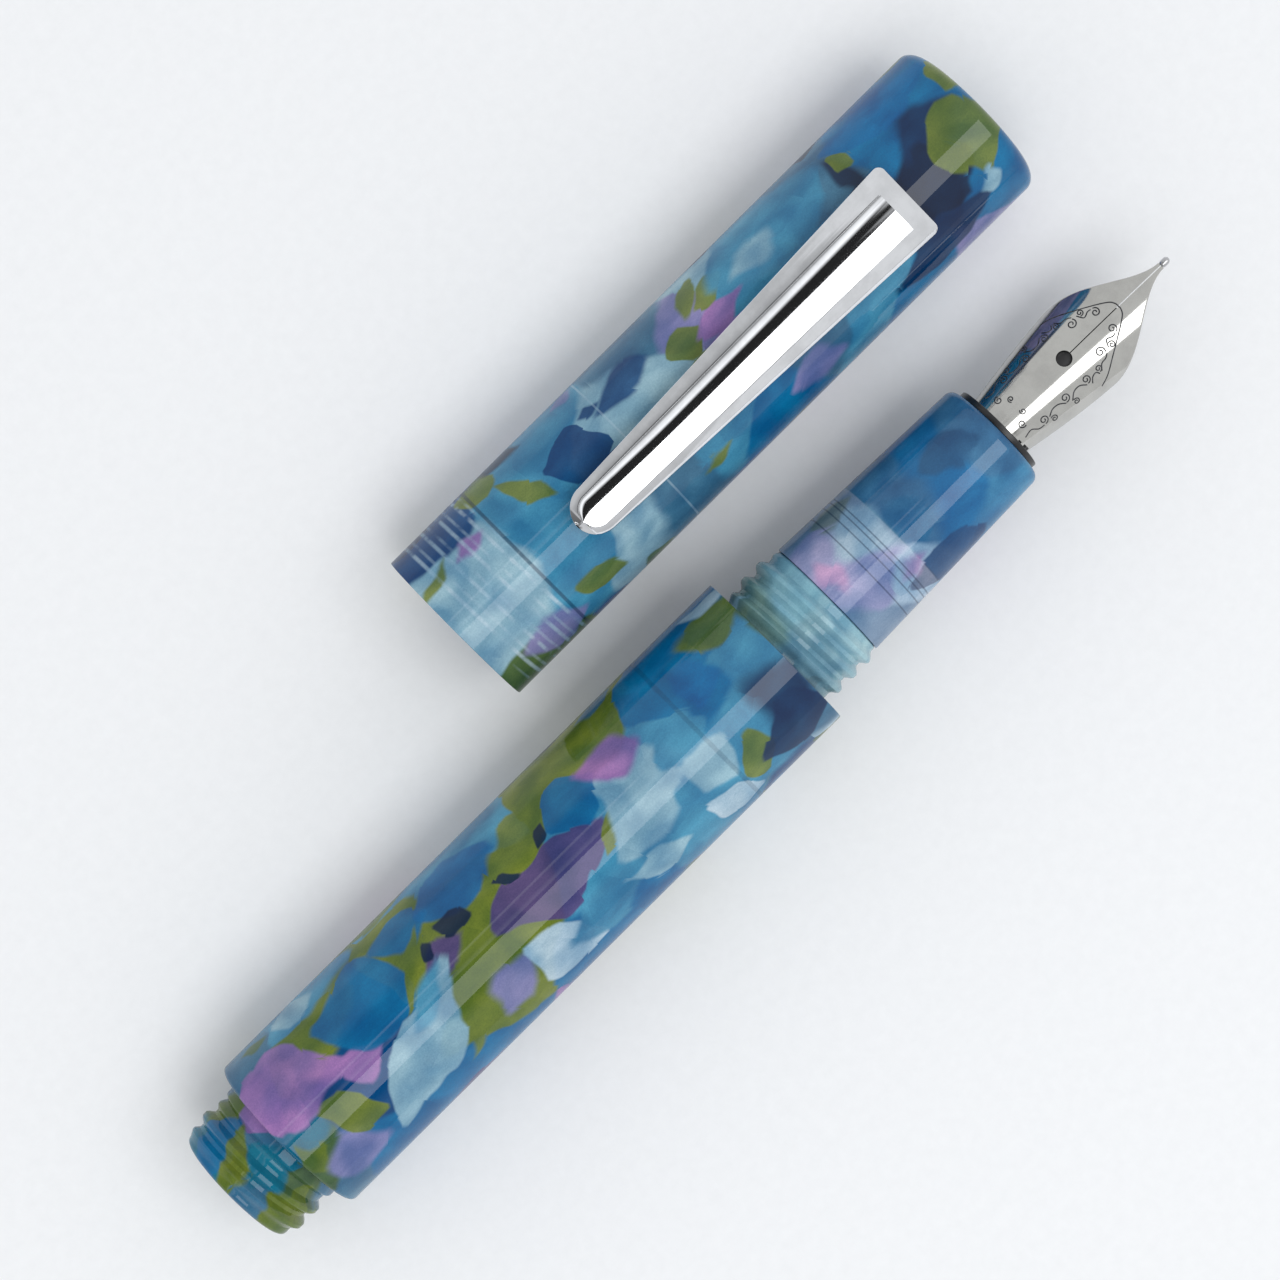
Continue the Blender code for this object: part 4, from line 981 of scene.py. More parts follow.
def make_barrel():
    thread = Thread(MALE_CREST_R, THREAD_PITCH)
    tail = [(TAIL_X, 0.0)] + corner(TAIL_X, MALE_ROOT_R, TAIL_ROUND, MALE_ROOT_R - TAIL_FACE_R)
    tail += [thread, (TAIL_THREAD_END_X, MALE_ROOT_R), (TAIL_THREAD_END_X + NECK_RUN, NECK_R)]
    tail += [(TAIL_STEP_X, NECK_R)] + corner(TAIL_STEP_X, BARREL_R, *STEP_EDGE)
    front = [(SHOULDER_X, BARREL_R), (SHOULDER_X, MALE_ROOT_R), (SHOULDER_X + FILLET, MALE_ROOT_R)]
    front += [thread, (BARREL_FRONT_X - FILLET, MALE_ROOT_R), (BARREL_FRONT_X, MALE_ROOT_R - FILLET)]
    socket = [(BARREL_FRONT_X, SOCKET_R), (SOCKET_END_X, SOCKET_R), (SOCKET_END_X, BORE_R)]
    bore = [(BORE_END_X, BORE_R), (BORE_END_X - BORE_CONE, 0.0)]
    profile = tail + front + socket + bore
    turned_piece("barrel_tube", profile, "barrel", "barrel", barrel_resin(), SIDES)


def make_section(rubber):
    rear = BARREL_FRONT_X + GAP
    run, drop = SECTION_LIP
    lip = [(SECTION_FRONT_X, HOUSING_BORE_R)] + corner(SECTION_FRONT_X, SECTION_FRONT_R, -run, drop, steps=8)
    ring_x = O_RING[0]
    groove = stepped(SECTION_REAR_R, (rear, TENON_R), (ring_x + GROOVE_HALF, GROOVE_R),
                     (ring_x - GROOVE_HALF, TENON_R))
    thread_rear, thread_front = TENON_THREAD_X
    crest, root, pitch = TENON_THREAD
    tenon = [(thread_front + FILLET, TENON_R), (thread_front, root), Thread(crest, pitch)]
    tenon += [(thread_rear, root), (FILLET, root), (0.0, root - FILLET), (0.0, CONVERTER_BORE_R)]
    bore = stepped(CONVERTER_BORE_R, (MOUTH_BORE_X, MOUTH_BORE_R), (HOUSING_SEAT_X, HOUSING_BORE_R))
    profile = lip + groove + tenon + bore
    turned_piece("grip_section", profile, "section", "section", section_resin(), SIDES)
    make_ring("tenon_o_ring", O_RING, "seal", "section_o_ring", rubber)


def make_ring(name, sizes, body, node, material):
    """An O-ring, given by its place, the radius of its circle and the radius of its cord."""
    x, ring_r, cord_r = sizes
    angles = spread(0.0, 2 * math.pi, count=20)[:-1]
    profile = [(x + cord_r * math.cos(a), ring_r + cord_r * math.sin(a)) for a in angles]
    turned_piece(name, profile, body, node, material, fillet=0.0)


def make_housing(material):
    seat = SECTION_FRONT_X + GAP
    thread_rear, thread_front = HOUSING_THREAD_X
    crest, root, pitch = HOUSING_THREAD
    flange = stepped(NIB_BORE_R, (FLANGE_FRONT_X, FLANGE_R), (seat, HOUSING_R))
    body = [(thread_front + FILLET, HOUSING_R), (thread_front, root), Thread(crest, pitch)]
    body.append((thread_rear, root))
    nipple = stepped(root, (HOUSING_REAR_X, NIPPLE_R), (NIPPLE_END_X, NIPPLE_BORE_R),
                     (HOUSING_FLOOR_X, NIB_BORE_R))
    mesh = turned_mesh("nib_collar", flange + body + nipple, sides=96)
    key_place = Matrix.Translation((0.0, -FLANGE_KEY_REACH, FLANGE_KEY_REACH))
    key = (FLANGE_KEY_R, seat + FILLET, FLANGE_FRONT_X + FLANGE_KEY_R, key_place)
    mesh = cut(mesh, [rods_mesh("key", [key], PEN_AXIS)], "UNION")
    add_piece("nib_collar", mesh, "nib_unit", "nib_housing", material)


def nib_half_width(x):
    if x <= FLANGE_FRONT_X:
        share = max(0.0, (x - NIB_COLLAR_X) / (FLANGE_FRONT_X - NIB_COLLAR_X))
        return NIB_SHANK_HALF + (NIB_BASE_HALF - NIB_SHANK_HALF) * share
    if x <= NIB_SHOULDER_X:
        share = (x - FLANGE_FRONT_X) / (NIB_SHOULDER_X - FLANGE_FRONT_X)
        bow = (share + math.sin(share * math.pi / 2)) / 2
        return NIB_BASE_HALF + (NIB_SHOULDER_HALF - NIB_BASE_HALF) * bow
    share = min(1.0, (x - NIB_SHOULDER_X) / (NIB_END_X - NIB_SHOULDER_X))
    fall = max(0.0, math.cos(share * math.pi / 2)) ** NIB_HOLLOW
    return NIB_END_HALF + (NIB_SHOULDER_HALF - NIB_END_HALF) * fall


def nib_arch(x):
    """The radius of the nib's arch at x, and the height of its crown above the pen's axis."""
    ahead = max(0.0, x - FLANGE_FRONT_X)
    return NIB_SHANK_R + NIB_FLARE * ahead, NIB_SHANK_R - NIB_DROOP * ahead**2


def nib_point(x, along_arch, depth):
    """A point `along_arch` from the nib's crown line, measured on its surface, and `depth` under it."""
    radius, crown = nib_arch(x)
    angle = along_arch / radius
    reach = radius - depth
    return (x, reach * math.sin(angle), crown - radius + reach * math.cos(angle))


def nib_section(x):
    """The sheet's outer face, a half round rim, and its inner face back again."""
    radius = nib_arch(x)[0]
    half = radius * math.asin(nib_half_width(x) / radius)
    rim = NIB_THICK / 2
    flat = half - rim
    outer = [nib_point(x, t, 0.0) for t in spread(-flat, flat, NIB_COLUMNS)]
    turns = spread(0.0, math.pi, count=6)[1:-1]
    right = [nib_point(x, flat + rim * math.sin(a), rim - rim * math.cos(a)) for a in turns]
    inner = [nib_point(x, t, NIB_THICK) for t in spread(flat, -flat, NIB_COLUMNS)]
    left = [nib_point(x, -flat - rim * math.sin(a), rim + rim * math.cos(a)) for a in turns]
    return outer + right + inner + left


def make_nib(steel):
    stations = [NIB_REAR_X]
    for end, count in ((NIB_COLLAR_X, 6), (FLANGE_FRONT_X, 4), (NIB_SHOULDER_X, 30), (NIB_END_X, 40)):
        stations += spread(stations[-1], end, count)[1:]
    mesh = lofted_mesh("nib_blade", [nib_section(x) for x in stations], NIB_PLACE, NIB_SMOOTH)
    upright = Matrix.Translation((BREATHER_X, 0.0, 0.0)) @ Matrix.Rotation(-math.pi / 2, 4, "Y")
    rod = (BREATHER_R, NIB_SHANK_R / 4, NIB_SHANK_R * 2, upright)
    hole = rods_mesh("breather", [rod], NIB_PLACE, sides=64)
    low = (BREATHER_X, -SLIT_WIDTH / 2, -NIB_SHANK_R)
    slit = box_mesh("slit", low, (NIB_TIP_X, SLIT_WIDTH / 2, NIB_SHANK_R * 2), NIB_PLACE)
    mesh = cut(mesh, [hole, slit], smooth=NIB_SMOOTH)
    add_piece("nib_blade", mesh, "nib", "nib", steel)


def make_tipping(material):
    height = nib_arch(NIB_END_X)[1] - NIB_THICK / 2
    place = NIB_PLACE @ Matrix.Translation((0.0, 0.0, height))
    back = NIB_END_X + GAP
    bead = [(back, 0.0)] + corner(back, TIPPING_R, TIPPING_R, TIPPING_R / 3, steps=8)
    bead += reversed(corner(NIB_TIP_X, TIPPING_R, -TIPPING_R, TIPPING_R, steps=10))
    mesh = turned_mesh("tipping_bead", bead, place, sides=48, fillet=0.0)
    low = (back - GAP, -SLIT_WIDTH / 2, -TIPPING_R * 2)
    high = (NIB_TIP_X + GAP, SLIT_WIDTH / 2, -TIPPING_R / 5)
    mesh = cut(mesh, [box_mesh("split", low, high, place)])
    add_piece("tipping_bead", mesh, "nib", "nib_tipping", material)


def feed_section(x, points=56):
    """A round rod under the nib that narrows to a thin lip at its tip."""
    crown = nib_arch(x)[1] - NIB_THICK - FEED_CLEAR
    share = max(0.0, (x - FEED_TAPER_X) / (FEED_TIP_X - FEED_TAPER_X))
    ease = share * share * (3 - 2 * share)
    half = FEED_R + (FEED_TIP_HALF - FEED_R) * ease
    keel = -FEED_R + (crown - FEED_TIP_HALF + FEED_R) * ease
    middle = (crown + keel) / 2 if share > 0 else 0.0
    ring = []
    for k in range(points):
        angle = 2 * math.pi * k / points
        reach = crown - middle if math.cos(angle) > 0 else middle - keel
        ring.append((x, half * math.sin(angle), middle + reach * math.cos(angle)))
    return ring


def make_feed(material):
    stations = [FEED_REAR_X, FLANGE_FRONT_X] + spread(FEED_TAPER_X, FEED_TIP_X, count=28)
    mesh = lofted_mesh("feed_body", [feed_section(x) for x in stations], NIB_PLACE)
    slots = []
    for k in range(FEED_FINS):
        x = FIN_FIRST_X + k * FIN_PITCH
        low = (x, -NIB_SHOULDER_HALF, -NIB_SHOULDER_HALF)
        high = (x + FIN_SLOT, NIB_SHOULDER_HALF, FIN_TOP + k * FIN_RISE)
        slots.append(box_mesh("slot", low, high, NIB_PLACE))
    add_piece("feed_body", cut(mesh, slots), "nib", "feed", material)


# The scroll on one half of the nib, in X and distance along the arch from the slit
BORDER = ((39.4, 3.85), (40.2, 3.45), (41.4, 2.55), (42.6, 1.75), (43.7, 1.05), (44.25, 0.62), (44.45, 0.22))
STEMS = (
    ((40.15, 2.75), (40.5, 2.3), (41.0, 2.2), (41.35, 1.95)),
    ((41.7, 1.75), (42.0, 1.2), (42.5, 1.35), (42.8, 1.3)),
    ((32.5, 2.35), (33.2, 2.2), (33.7, 2.65), (34.2, 2.75)),
    ((34.9, 2.5), (35.4, 2.2), (36.0, 2.25), (36.5, 2.65)),
    ((37.0, 2.9), (37.5, 2.4), (38.1, 2.35), (38.6, 2.75)),
    ((39.0, 3.0), (39.3, 2.6), (39.7, 2.5), (39.9, 2.8)),
)
# X, distance, radius, first angle and direction of each curl
CURLS = (
    (41.0, 1.55, 0.42, 40.0, -1), (42.9, 0.9, 0.38, 80.0, -1), (42.05, 1.75, 0.3, 240.0, 1),
    (34.4, 2.35, 0.4, 100.0, -1), (35.1, 2.95, 0.32, 230.0, 1), (36.7, 2.25, 0.4, 110.0, -1),
    (37.2, 3.2, 0.3, 250.0, 1), (38.8, 2.35, 0.38, 100.0, -1), (40.05, 2.4, 0.3, 100.0, -1),
    (33.0, 1.3, 0.34, 60.0, 1), (33.7, 0.65, 0.26, 240.0, -1),
)
CURL_TURNS = 1.35
CURL_SHRINK = 0.78
LINE_R = 0.058
LINE_SINK = 0.022


def curl_points(x, along, radius, first, direction):
    """A spiral that winds inwards."""
    points = []
    for share in spread(0.0, 1.0, count=26):
        angle = math.radians(first) + direction * 2 * math.pi * CURL_TURNS * share
        reach = radius * (1 - CURL_SHRINK * share)
        points.append((x + reach * math.cos(angle), along + reach * math.sin(angle)))
    return points


def smooth_points(points, steps=8):
    """A Catmull-Rom curve through the points."""
    padded = [points[0]] + list(points) + [points[-1]]
    done = []
    for k in range(len(points) - 1):
        p0, p1, p2, p3 = (Vector(p) for p in padded[k:k + 4])
        for s in range(steps):
            t = s / steps
            bend = 2 * p1 + (p2 - p0) * t + (2 * p0 - 5 * p1 + 4 * p2 - p3) * t**2
            done.append(tuple((bend + (3 * p1 - p0 - 3 * p2 + p3) * t**3) / 2))
    return done + [points[-1]]


def make_engraving(material):
    """Fine dark lines sunk in the nib's surface, the same on both halves."""
    curve = bpy.data.curves.new("nib_scroll", "CURVE")
    curve.dimensions = "3D"
    curve.bevel_depth = LINE_R * MM
    curve.bevel_resolution = 2
    curve.use_fill_caps = True
    border = smooth_points(BORDER)
    paths = [smooth_points(stem) for stem in STEMS] + [curl_points(*curl) for curl in CURLS]
    lines = [[(x, side * t) for x, t in path] for side in (1, -1) for path in paths]
    lines.append(border + [(x, -t) for x, t in reversed(border)])
    for line in lines:
        spline = curve.splines.new("POLY")
        spline.points.add(len(line) - 1)
        for spot, (x, along) in zip(spline.points, line):
            radius = nib_arch(x)[0]
            limit = radius * math.asin(nib_half_width(x) / radius) - NIB_THICK
            along = max(-limit, min(limit, along))
            spot.co = (*(NIB_PLACE @ Vector(nib_point(x, along, LINE_SINK)) * MM), 1.0)
    obj = add_object("nib_scroll", curve)
    curve.materials.append(material)
    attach(obj, "nib")


# ------------------------------------------------------------- converter pieces


def make_converter(mats):
    mouth = stepped(MOUTH_SOCKET_R, (MOUTH_FRONT_X, MOUTH_R), (MOUTH_REAR_X, MOUTH_COLLAR_R),
                    (MOUTH_SEAT_X, PLUG_R), (PLUG_END_X, INK_WAY_R), (MOUTH_SOCKET_X, MOUTH_SOCKET_R))
    turned_piece("ink_mouth", mouth, "converter", "converter_mouth", mats["black"])
    tube = stepped(TUBE_BORE_R, (MOUTH_SEAT_X - GAP, TUBE_R), (TUBE_REAR_X, TUBE_BORE_R))
    turned_piece("ink_tube", tube, "converter", "converter_tube", mats["clear"])
    make_ferrule(mats["plate"])
    sleeve = stepped(SLEEVE_BORE_R, (SLEEVE_FRONT_X, SLEEVE_HEAD_R), (SLEEVE_STEP_X, SLEEVE_R),
                     (SLEEVE_REAR_X, SLEEVE_BORE_R))
    turned_piece("turning_sleeve", sleeve, "knob", "drive_sleeve", mats["brass"])
    make_knob(mats["black"])
    make_piston(mats)
    make_ball(mats["steel"])


def make_ferrule(material):
    """The ferrule has a fine groove round its front, and a pocket inside for the sleeve's head."""
    ring = [(FERRULE_RING_X + FERRULE_RING_HALF, FERRULE_R)]
    ring.append((FERRULE_RING_X, FERRULE_R - FERRULE_RING_DEPTH))
    ring.append((FERRULE_RING_X - FERRULE_RING_HALF, FERRULE_R))
    shell = stepped(FERRULE_R, (FERRULE_REAR_X, SLEEVE_R + SLEEVE_CLEAR),
                    (SLEEVE_STEP_X - SLEEVE_CLEAR, SLEEVE_HEAD_R + SLEEVE_CLEAR),
                    (TUBE_REAR_X - GAP, FERRULE_SEAT_R))
    profile = stepped(FERRULE_SEAT_R, (FERRULE_FRONT_X, FERRULE_R)) + ring + shell
    turned_piece("bright_ferrule", profile, "converter", "converter_ferrule", material)


def make_knob(material):
    neck = KNOB_FRONT_X - KNOB_NECK
    knob = [(KNOB_REAR_X, 0.0)] + corner(KNOB_REAR_X, KNOB_R, KNOB_NECK, KNOB_NECK)
    knob += stepped(KNOB_R, (neck, KNOB_NECK_R), (KNOB_FRONT_X, KNOB_BORE_R),
                    (SLEEVE_REAR_X - KNOB_NECK / 3, ROD_BORE_R), (ROD_BORE_END_X, 0.0))
    mesh = turned_mesh("filling_knob", knob)
    flutes = []
    for k in range(KNOB_FLUTES):
        turn = Matrix.Rotation(2 * math.pi * k / KNOB_FLUTES, 4, "X")
        spoke = turn @ Matrix.Translation((0.0, 0.0, KNOB_R))
        flutes.append((KNOB_FLUTE_R, KNOB_REAR_X - KNOB_NECK, neck + KNOB_NECK / 2, spoke))
    mesh = cut(mesh, [rods_mesh("flutes", flutes, PEN_AXIS, sides=12)])
    add_piece("filling_knob", mesh, "knob", "converter_knob", material)


def make_piston(mats):
    crest, root, lead = ROD_THREAD
    rod = [(ROD_FRONT_X, 0.0), (ROD_FRONT_X, crest), (ROD_THREAD_X + FILLET, crest), (ROD_THREAD_X, root)]
    rod += [Thread(crest, lead), (ROD_REAR_X + FILLET, root), (ROD_REAR_X, root - FILLET), (ROD_REAR_X, 0.0)]
    turned_piece("threaded_rod", rod, "piston", "piston_rod", mats["white"], sides=48)
    grooves = []
    for x in SEAL_PLACES.values():
        grooves += [(x + SEAL_GROOVE_HALF, SEAL_GROOVE_R), (x - SEAL_GROOVE_HALF, HEAD_R)]
    head = stepped(0.0, (HEAD_FRONT_X, HEAD_R), *grooves, (HEAD_REAR_X, HEAD_BORE_R),
                   (ROD_FRONT_X + FILLET, 0.0))
    turned_piece("seal_carrier", head, "piston", "piston_head", mats["grey"])
    for node, x in SEAL_PLACES.items():
        make_ring(f"{node}_ring", (x, SEAL_R, SEAL_TUBE_R), "piston", node, mats["rubber"])


def make_ball(material):
    low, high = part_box("agitator_ball")
    radius = (high.x - low.x) / 2 / MM
    angles = spread(0.0, math.pi, count=24)[1:-1]
    side = [(radius * math.cos(a), radius * math.sin(a)) for a in angles]
    outline = [(radius, 0.0)] + side + [(-radius, 0.0)]
    mesh = turned_mesh("ink_ball", outline, Matrix.Translation((low + high) / 2 / MM), sides=40, fillet=0.0)
    add_piece("ink_ball", mesh, "converter", "agitator_ball", material)


# ------------------------------------------------------------------- cap pieces


def slot_corners(clear, bottom_w, top_w):
    """The corners of the clip's post grown by `clear`, in the clip's own frame."""
    half_x = POST_SIZE[0] / 2 + clear
    half_y = POST_SIZE[1] / 2 + clear
    return (POST_X - half_x, -half_y, bottom_w), (POST_X + half_x, half_y, top_w)


def make_cap():
    edge = CAP_END_X - CAP_CROWN
    run, drop = CAP_END_EDGE
    dome = [(CAP_END_X - CAP_CROWN * s**2, (CAP_R - drop) * s) for s in spread(0.0, 1.0, count=8)]
    end = dome + corner(edge, CAP_R, -run, drop, steps=12)[1:]
    mouth = [(CAP_MOUTH_X, CAP_R), (CAP_MOUTH_X, CAP_MOUTH_R)]
    thread = [(CAP_MOUTH_X + CAP_MOUTH_R - FEMALE_ROOT_R, FEMALE_ROOT_R)]
    thread += [Thread(FEMALE_CREST_R, THREAD_PITCH), (CAP_THREAD_END_X, FEMALE_ROOT_R)]
    wide = CAP_BORE_R + CAP_BORE_STEP
    bore = [(CAP_RELIEF_END_X, FEMALE_ROOT_R), (CAP_RELIEF_END_X + FILLET, wide)]
    bore += [(CAP_BORE_STEP_X, wide), (CAP_BORE_STEP_X + FILLET, CAP_BORE_R)]
    depth = CAP_BORE_END_X - CAP_BORE_ROUND_X
    bore += reversed(corner(CAP_BORE_END_X, CAP_BORE_R, -depth, CAP_BORE_R, steps=8))
    mesh = turned_mesh("screw_cap", end + mouth + thread + bore, CAP_AXIS, SIDES)
    low, high = slot_corners(SLOT_CLEAR, *SLOT_W)
    mesh = cut(mesh, [box_mesh("slot", low, high, CLIP_PLACE, POST_SIZE[0] / 2)])
    add_piece("screw_cap", mesh, "cap", "cap", cap_resin())


def round_end(share):
    """The share of its full width that a half round end has, `share` of its radius from the end."""
    rest = 1 - min(1.0, max(0.0, share))
    return math.sqrt(max(CLIP_TIP_BLUNT, 1 - rest * rest))


def clip_sizes(x):
    """Half width at the foot, half width at the top, and the heights of the foot, edge and top at x."""
    share = (x - CLIP_TIP_X) / (CLIP_ROOT_X - CLIP_TIP_X)
    foot_half = CLIP_TIP_HALF + (CLIP_ROOT_HALF - CLIP_TIP_HALF) * share
    top_half = CLIP_TOP_TIP_HALF + (CLIP_TOP_ROOT_HALF - CLIP_TOP_TIP_HALF) * share
    foot = CLIP_FOOT_TIP_W + (CLIP_FOOT_ROOT_W - CLIP_FOOT_TIP_W) * share**2
    top = CLIP_TOP_TIP_W + (CLIP_TOP_ROOT_W - CLIP_TOP_TIP_W) * share
    edge = top - CLIP_BEVEL_SLOPE * (foot_half - top_half)
    from_tip = x - CLIP_TIP_X
    foot_half *= round_end(from_tip / CLIP_TIP_HALF)
    top_half = min(foot_half, top_half * round_end((from_tip - CLIP_TIP_BEVEL) / CLIP_TOP_TIP_HALF))
    rise = min(1.0, from_tip / CLIP_TIP_BEVEL, (CLIP_ROOT_X - x) / CLIP_ROOT_BEVEL)
    if x > CLIP_ROOT_X - CLIP_ROOT_BEVEL:
        top_half = foot_half + (top_half - foot_half) * rise
    return foot_half, top_half, foot, edge, edge + (top - edge) * rise


def clip_section(x):
    """One cross section: upright sides, sloping bevels, and a slightly crowned mirror-flat top."""
    foot_half, top_half, foot, edge, top = clip_sizes(x)
    inset = max(0.0, CLIP_ROOT_CORNER - (CLIP_ROOT_X - x))
    foot_half -= CLIP_ROOT_CORNER - math.sqrt(CLIP_ROOT_CORNER**2 - inset**2)
    top_half = min(top_half, foot_half)
    crown = CLIP_CROWN * min(1.0, (top - edge) / CLIP_TIP_BEVEL)
    bump = max(0.0, 1 - ((x - CLIP_BUMP_X) / CLIP_BUMP_HALF) ** 2)
    low = foot + (CLIP_BUMP_W - foot) * bump
    right = arc_between((0.0, low), (foot_half, foot), (foot_half, edge), FILLET / 2)
    right += arc_between((foot_half, foot), (foot_half, edge), (top_half, top), FILLET / 2)
    right += arc_between((foot_half, edge), (top_half, top), (0.0, top + crown), FILLET)
    inner_half, inner_w = right[-1]
    across = spread(1.0, 0.0, count=6)[1:-1]
    right += [(inner_half * s, top + crown - (top + crown - inner_w) * s * s) for s in across]
    left = [(-v, w) for v, w in reversed(right)]
    under = [(v * foot_half, low) for v in (-0.5, 0.0, 0.5)]
    lean = CLIP_TOP_LEAN * crown / CLIP_CROWN
    outline = right + [(0.0, top + crown)] + left + under
    return [(x, v, w - lean * v if w > top - FILLET else w) for v, w in outline]


def clip_stations():
    """Close together round the tip and at the root's corners, and wider along the rest."""
    tip_end = CLIP_TIP_X + CLIP_TIP_HALF
    bump_end = CLIP_BUMP_X + CLIP_BUMP_HALF
    bevel = CLIP_ROOT_X - CLIP_ROOT_BEVEL
    stations = [CLIP_TIP_X + CLIP_TIP_HALF * (1 - math.cos(a)) for a in spread(0.0, math.pi / 2, count=28)]
    stations += spread(tip_end, bump_end, count=12)[1:] + spread(bump_end, bevel - FILLET, count=24)[1:]
    stations += spread(bevel, CLIP_ROOT_X - CLIP_ROOT_CORNER, count=4)
    turn = spread(0.0, math.pi / 2, count=8)[1:]
    return sorted(stations + [CLIP_ROOT_X - CLIP_ROOT_CORNER * (1 - math.sin(a)) for a in turn])


def make_clip(chrome):
    mesh = lofted_mesh("pocket_clip", [clip_section(x) for x in clip_stations()], CLIP_PLACE, CLIP_SMOOTH)
    low, high = slot_corners(0.0, POST_BOTTOM_W, POST_TOP_W)
    post = box_mesh("post", low, high, CLIP_PLACE, POST_SIZE[0] / 2 - SLOT_CLEAR)
    mesh = cut(mesh, [post], "UNION", CLIP_SMOOTH)
    mesh = cut(mesh, [screw_hole(0.0, SCREW_TOP_W + SCREW_CLEAR)], smooth=CLIP_SMOOTH)
    add_piece("pocket_clip", mesh, "clip", "cap_clip", chrome)


def post_axis():
    """Turns a rod along X into one that stands up on the clip's post."""
    return Matrix.Translation((POST_X, 0.0, 0.0)) @ Matrix.Rotation(-math.pi / 2, 4, "Y")


def screw_hole(low, high, sides=24):
    return rods_mesh("hole", [(SCREW_R + SCREW_CLEAR, low, high, post_axis())], CLIP_PLACE, sides)


def make_clip_fixing(steel):
    bottom = WASHER_TOP_W - WASHER_THICK
    length, width = WASHER_SIZE
    low = (POST_X - length / 2, -width / 2, bottom)
    high = (POST_X + length / 2, width / 2, WASHER_TOP_W)
    washer = box_mesh("washer_plate", low, high, CLIP_PLACE, edge_round=FILLET / 2)
    hole = screw_hole(bottom - CUT_PAST, WASHER_TOP_W + CUT_PAST, sides=40)
    add_piece("washer_plate", cut(washer, [hole]), "clip", "clip_washer", steel)
    head_top = bottom - GAP
    head_bottom = head_top - SCREW_HEAD_THICK
    outline = stepped(0.0, (head_bottom, SCREW_HEAD_R), (head_top, SCREW_R), (SCREW_TOP_W, 0.0))
    screw = turned_mesh("clip_fixing_screw", outline, CLIP_PLACE @ post_axis(), sides=48, fillet=FILLET / 2)
    length, width, depth = SCREW_SLOT
    low = (POST_X - length / 2, -width / 2, head_bottom - CUT_PAST)
    high = (POST_X + length / 2, width / 2, head_bottom + depth)
    slot = box_mesh("slot", low, high, CLIP_PLACE)
    add_piece("clip_fixing_screw", cut(screw, [slot]), "clip", "clip_screw", steel)


# ------------------------------------------------------- floor, light and camera


def make_floor():
    work = bmesh.new()
    bmesh.ops.create_grid(work, x_segments=4, y_segments=4, size=FLOOR_SIZE / 2 / MM)
    floor = add_object("floor", mesh_from("floor", work, Matrix.Translation((0.0, 0.0, FLOOR_Z / MM))))
    floor.data.materials.append(pale_floor())


def make_softbox():
    """A rectangular light that shines down, hidden from the camera itself."""
    light = bpy.data.lights.new("long_softbox", "AREA")
    light.shape = "RECTANGLE"
    light.size, light.size_y = SOFTBOX_SIZE
    light.energy = SOFTBOX_RADIANCE * math.pi * light.size * light.size_y
    softbox = add_object("long_softbox", light)
    softbox.location = SOFTBOX_AT
    softbox.visible_camera = False


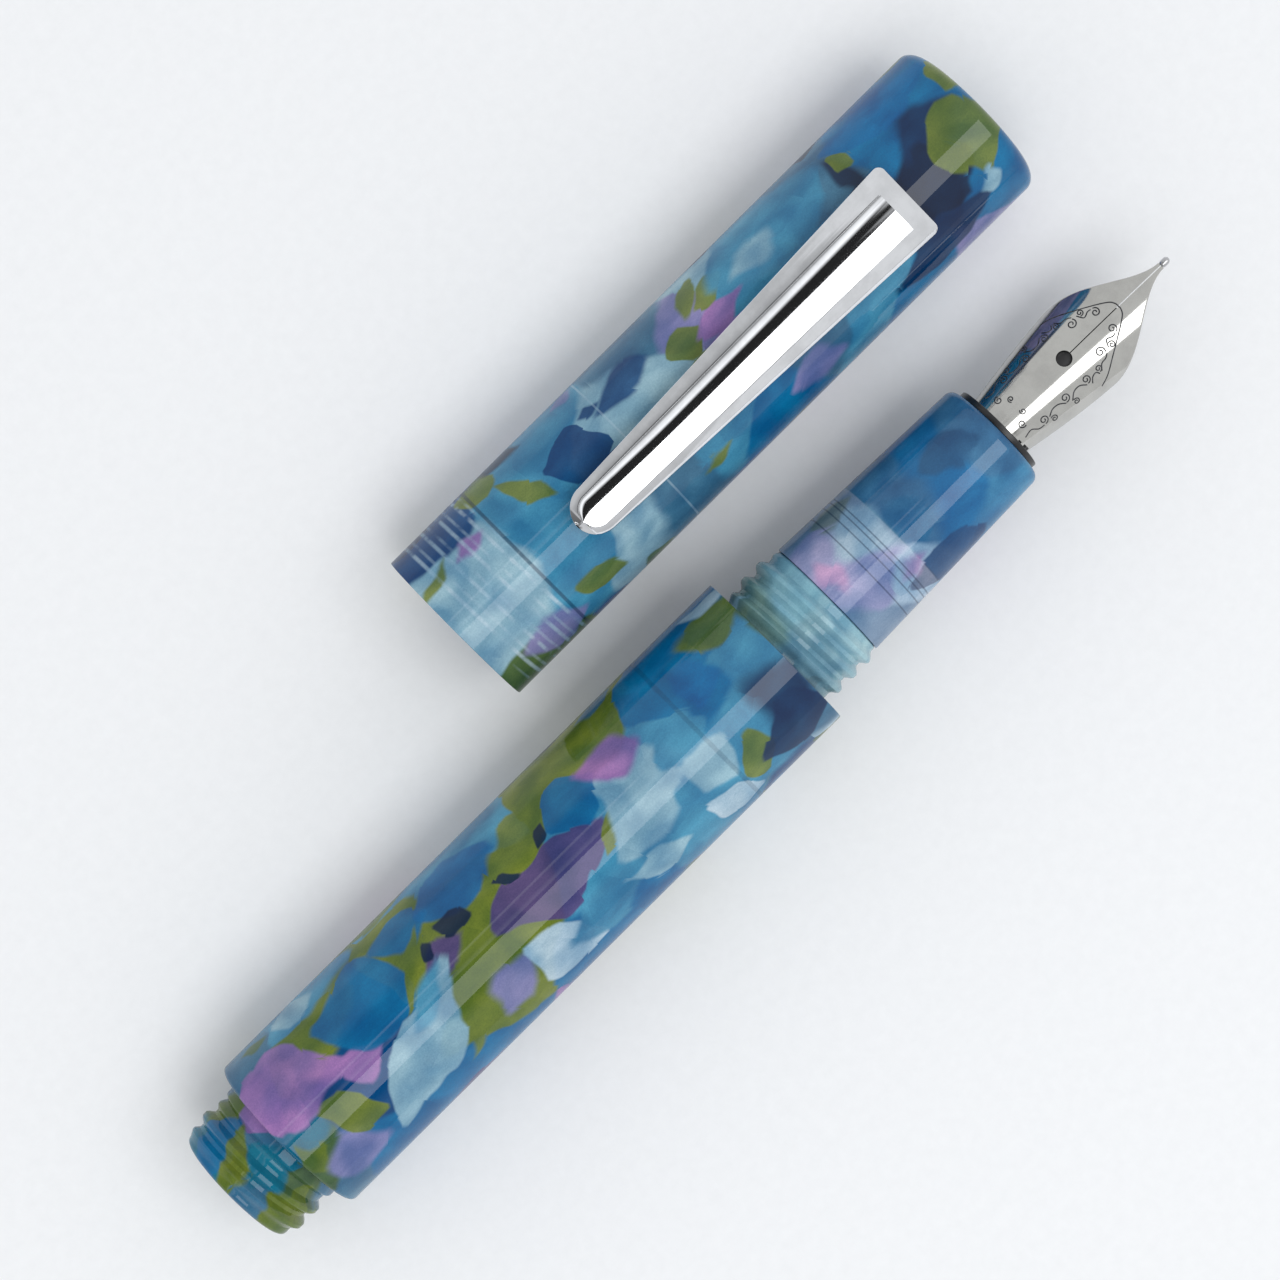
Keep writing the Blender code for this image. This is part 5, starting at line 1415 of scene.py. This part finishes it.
def make_world():
    """A pale room, which is even for diffuse light. In reflections its ceiling changes from -Y to +Y."""
    world = bpy.data.worlds.new("studio")
    world.use_nodes = True
    bpy.context.scene.world = world
    graph = Graph(world.node_tree)
    x, y, z = graph.parts(graph.add("ShaderNodeTexCoord", {}, "Generated"))
    turn = graph.math("DIVIDE", graph.math("ARCTAN2", y, z), 2 * math.pi)
    stops = [(0.5 + angle / FULL_TURN, room_colour(level)) for angle, level in ROOM_LEVELS]
    room = graph.ramp(graph.math("ADD", turn, 0.5), stops)
    scale, reach = GAP_RIPPLE
    ripple = graph.noise(graph.add("ShaderNodeCombineXYZ", {0: x, 1: y}), scale)
    slope = graph.math("ADD", graph.math("DIVIDE", x, z), graph.math("MULTIPLY", ripple, reach))
    room = graph.mix(graph.step(slope, *GAP_END), room, room_colour(ROOM_AHEAD))
    glossy = graph.add("ShaderNodeLightPath", {}, "Is Glossy Ray")
    background = graph.tree.nodes["Background"]
    graph.put(background.inputs["Color"], graph.mix(glossy, room_colour(AMBIENT), room))


def room_colour(level):
    return tuple(level * part for part in ROOM_TINT) + (1.0,)


def make_camera():
    camera = bpy.data.cameras.new("photo_camera")
    camera.sensor_width = SENSOR_WIDTH_MM
    camera.angle = CAMERA_VIEW
    camera.clip_start = CLIP_START
    made = add_object("photo_camera", camera)
    made.location = CAMERA_AT
    made.rotation_euler = (0.0, 0.0, CAMERA_TURN)
    bpy.context.scene.camera = made


def main():
    bpy.context.scene.view_settings.view_transform = "Standard"
    mats = {
        "steel": polished_metal("polished_steel", linear(198, 197, 193), 0.09),
        "alloy": polished_metal("tipping_alloy", linear(196, 196, 198), 0.28),
        "chrome": polished_metal("clip_chrome", linear(236, 237, 240), 0.03),
        "plate": polished_metal("bright_plate", linear(222, 222, 222), 0.12, turned=0.2),
        "brass": polished_metal("turned_brass", linear(206, 176, 112), 0.26, turned=0.3),
        "fixing": polished_metal("fixing_steel", linear(176, 176, 180), 0.26, turned=0.15),
        "black": moulded_plastic("black_plastic", linear(22, 22, 23), 0.3),
        "feed": moulded_plastic("feed_plastic", linear(26, 26, 28), 0.42, 0.3),
        "white": moulded_plastic("white_plastic", linear(222, 224, 222), 0.35),
        "grey": moulded_plastic("grey_plastic", linear(66, 66, 70), 0.4),
        "rubber": moulded_plastic("seal_rubber", linear(24, 24, 25), 0.6, 0.4),
        "clear": clear_plastic(),
    }
    make_barrel()
    make_section(mats["rubber"])
    make_housing(mats["black"])
    make_nib(mats["steel"])
    make_engraving(engraving())
    make_tipping(mats["alloy"])
    make_feed(mats["feed"])
    make_converter(mats)
    make_cap()
    make_clip(mats["chrome"])
    make_clip_fixing(mats["fixing"])
    make_floor()
    make_world()
    make_softbox()
    make_camera()


main()
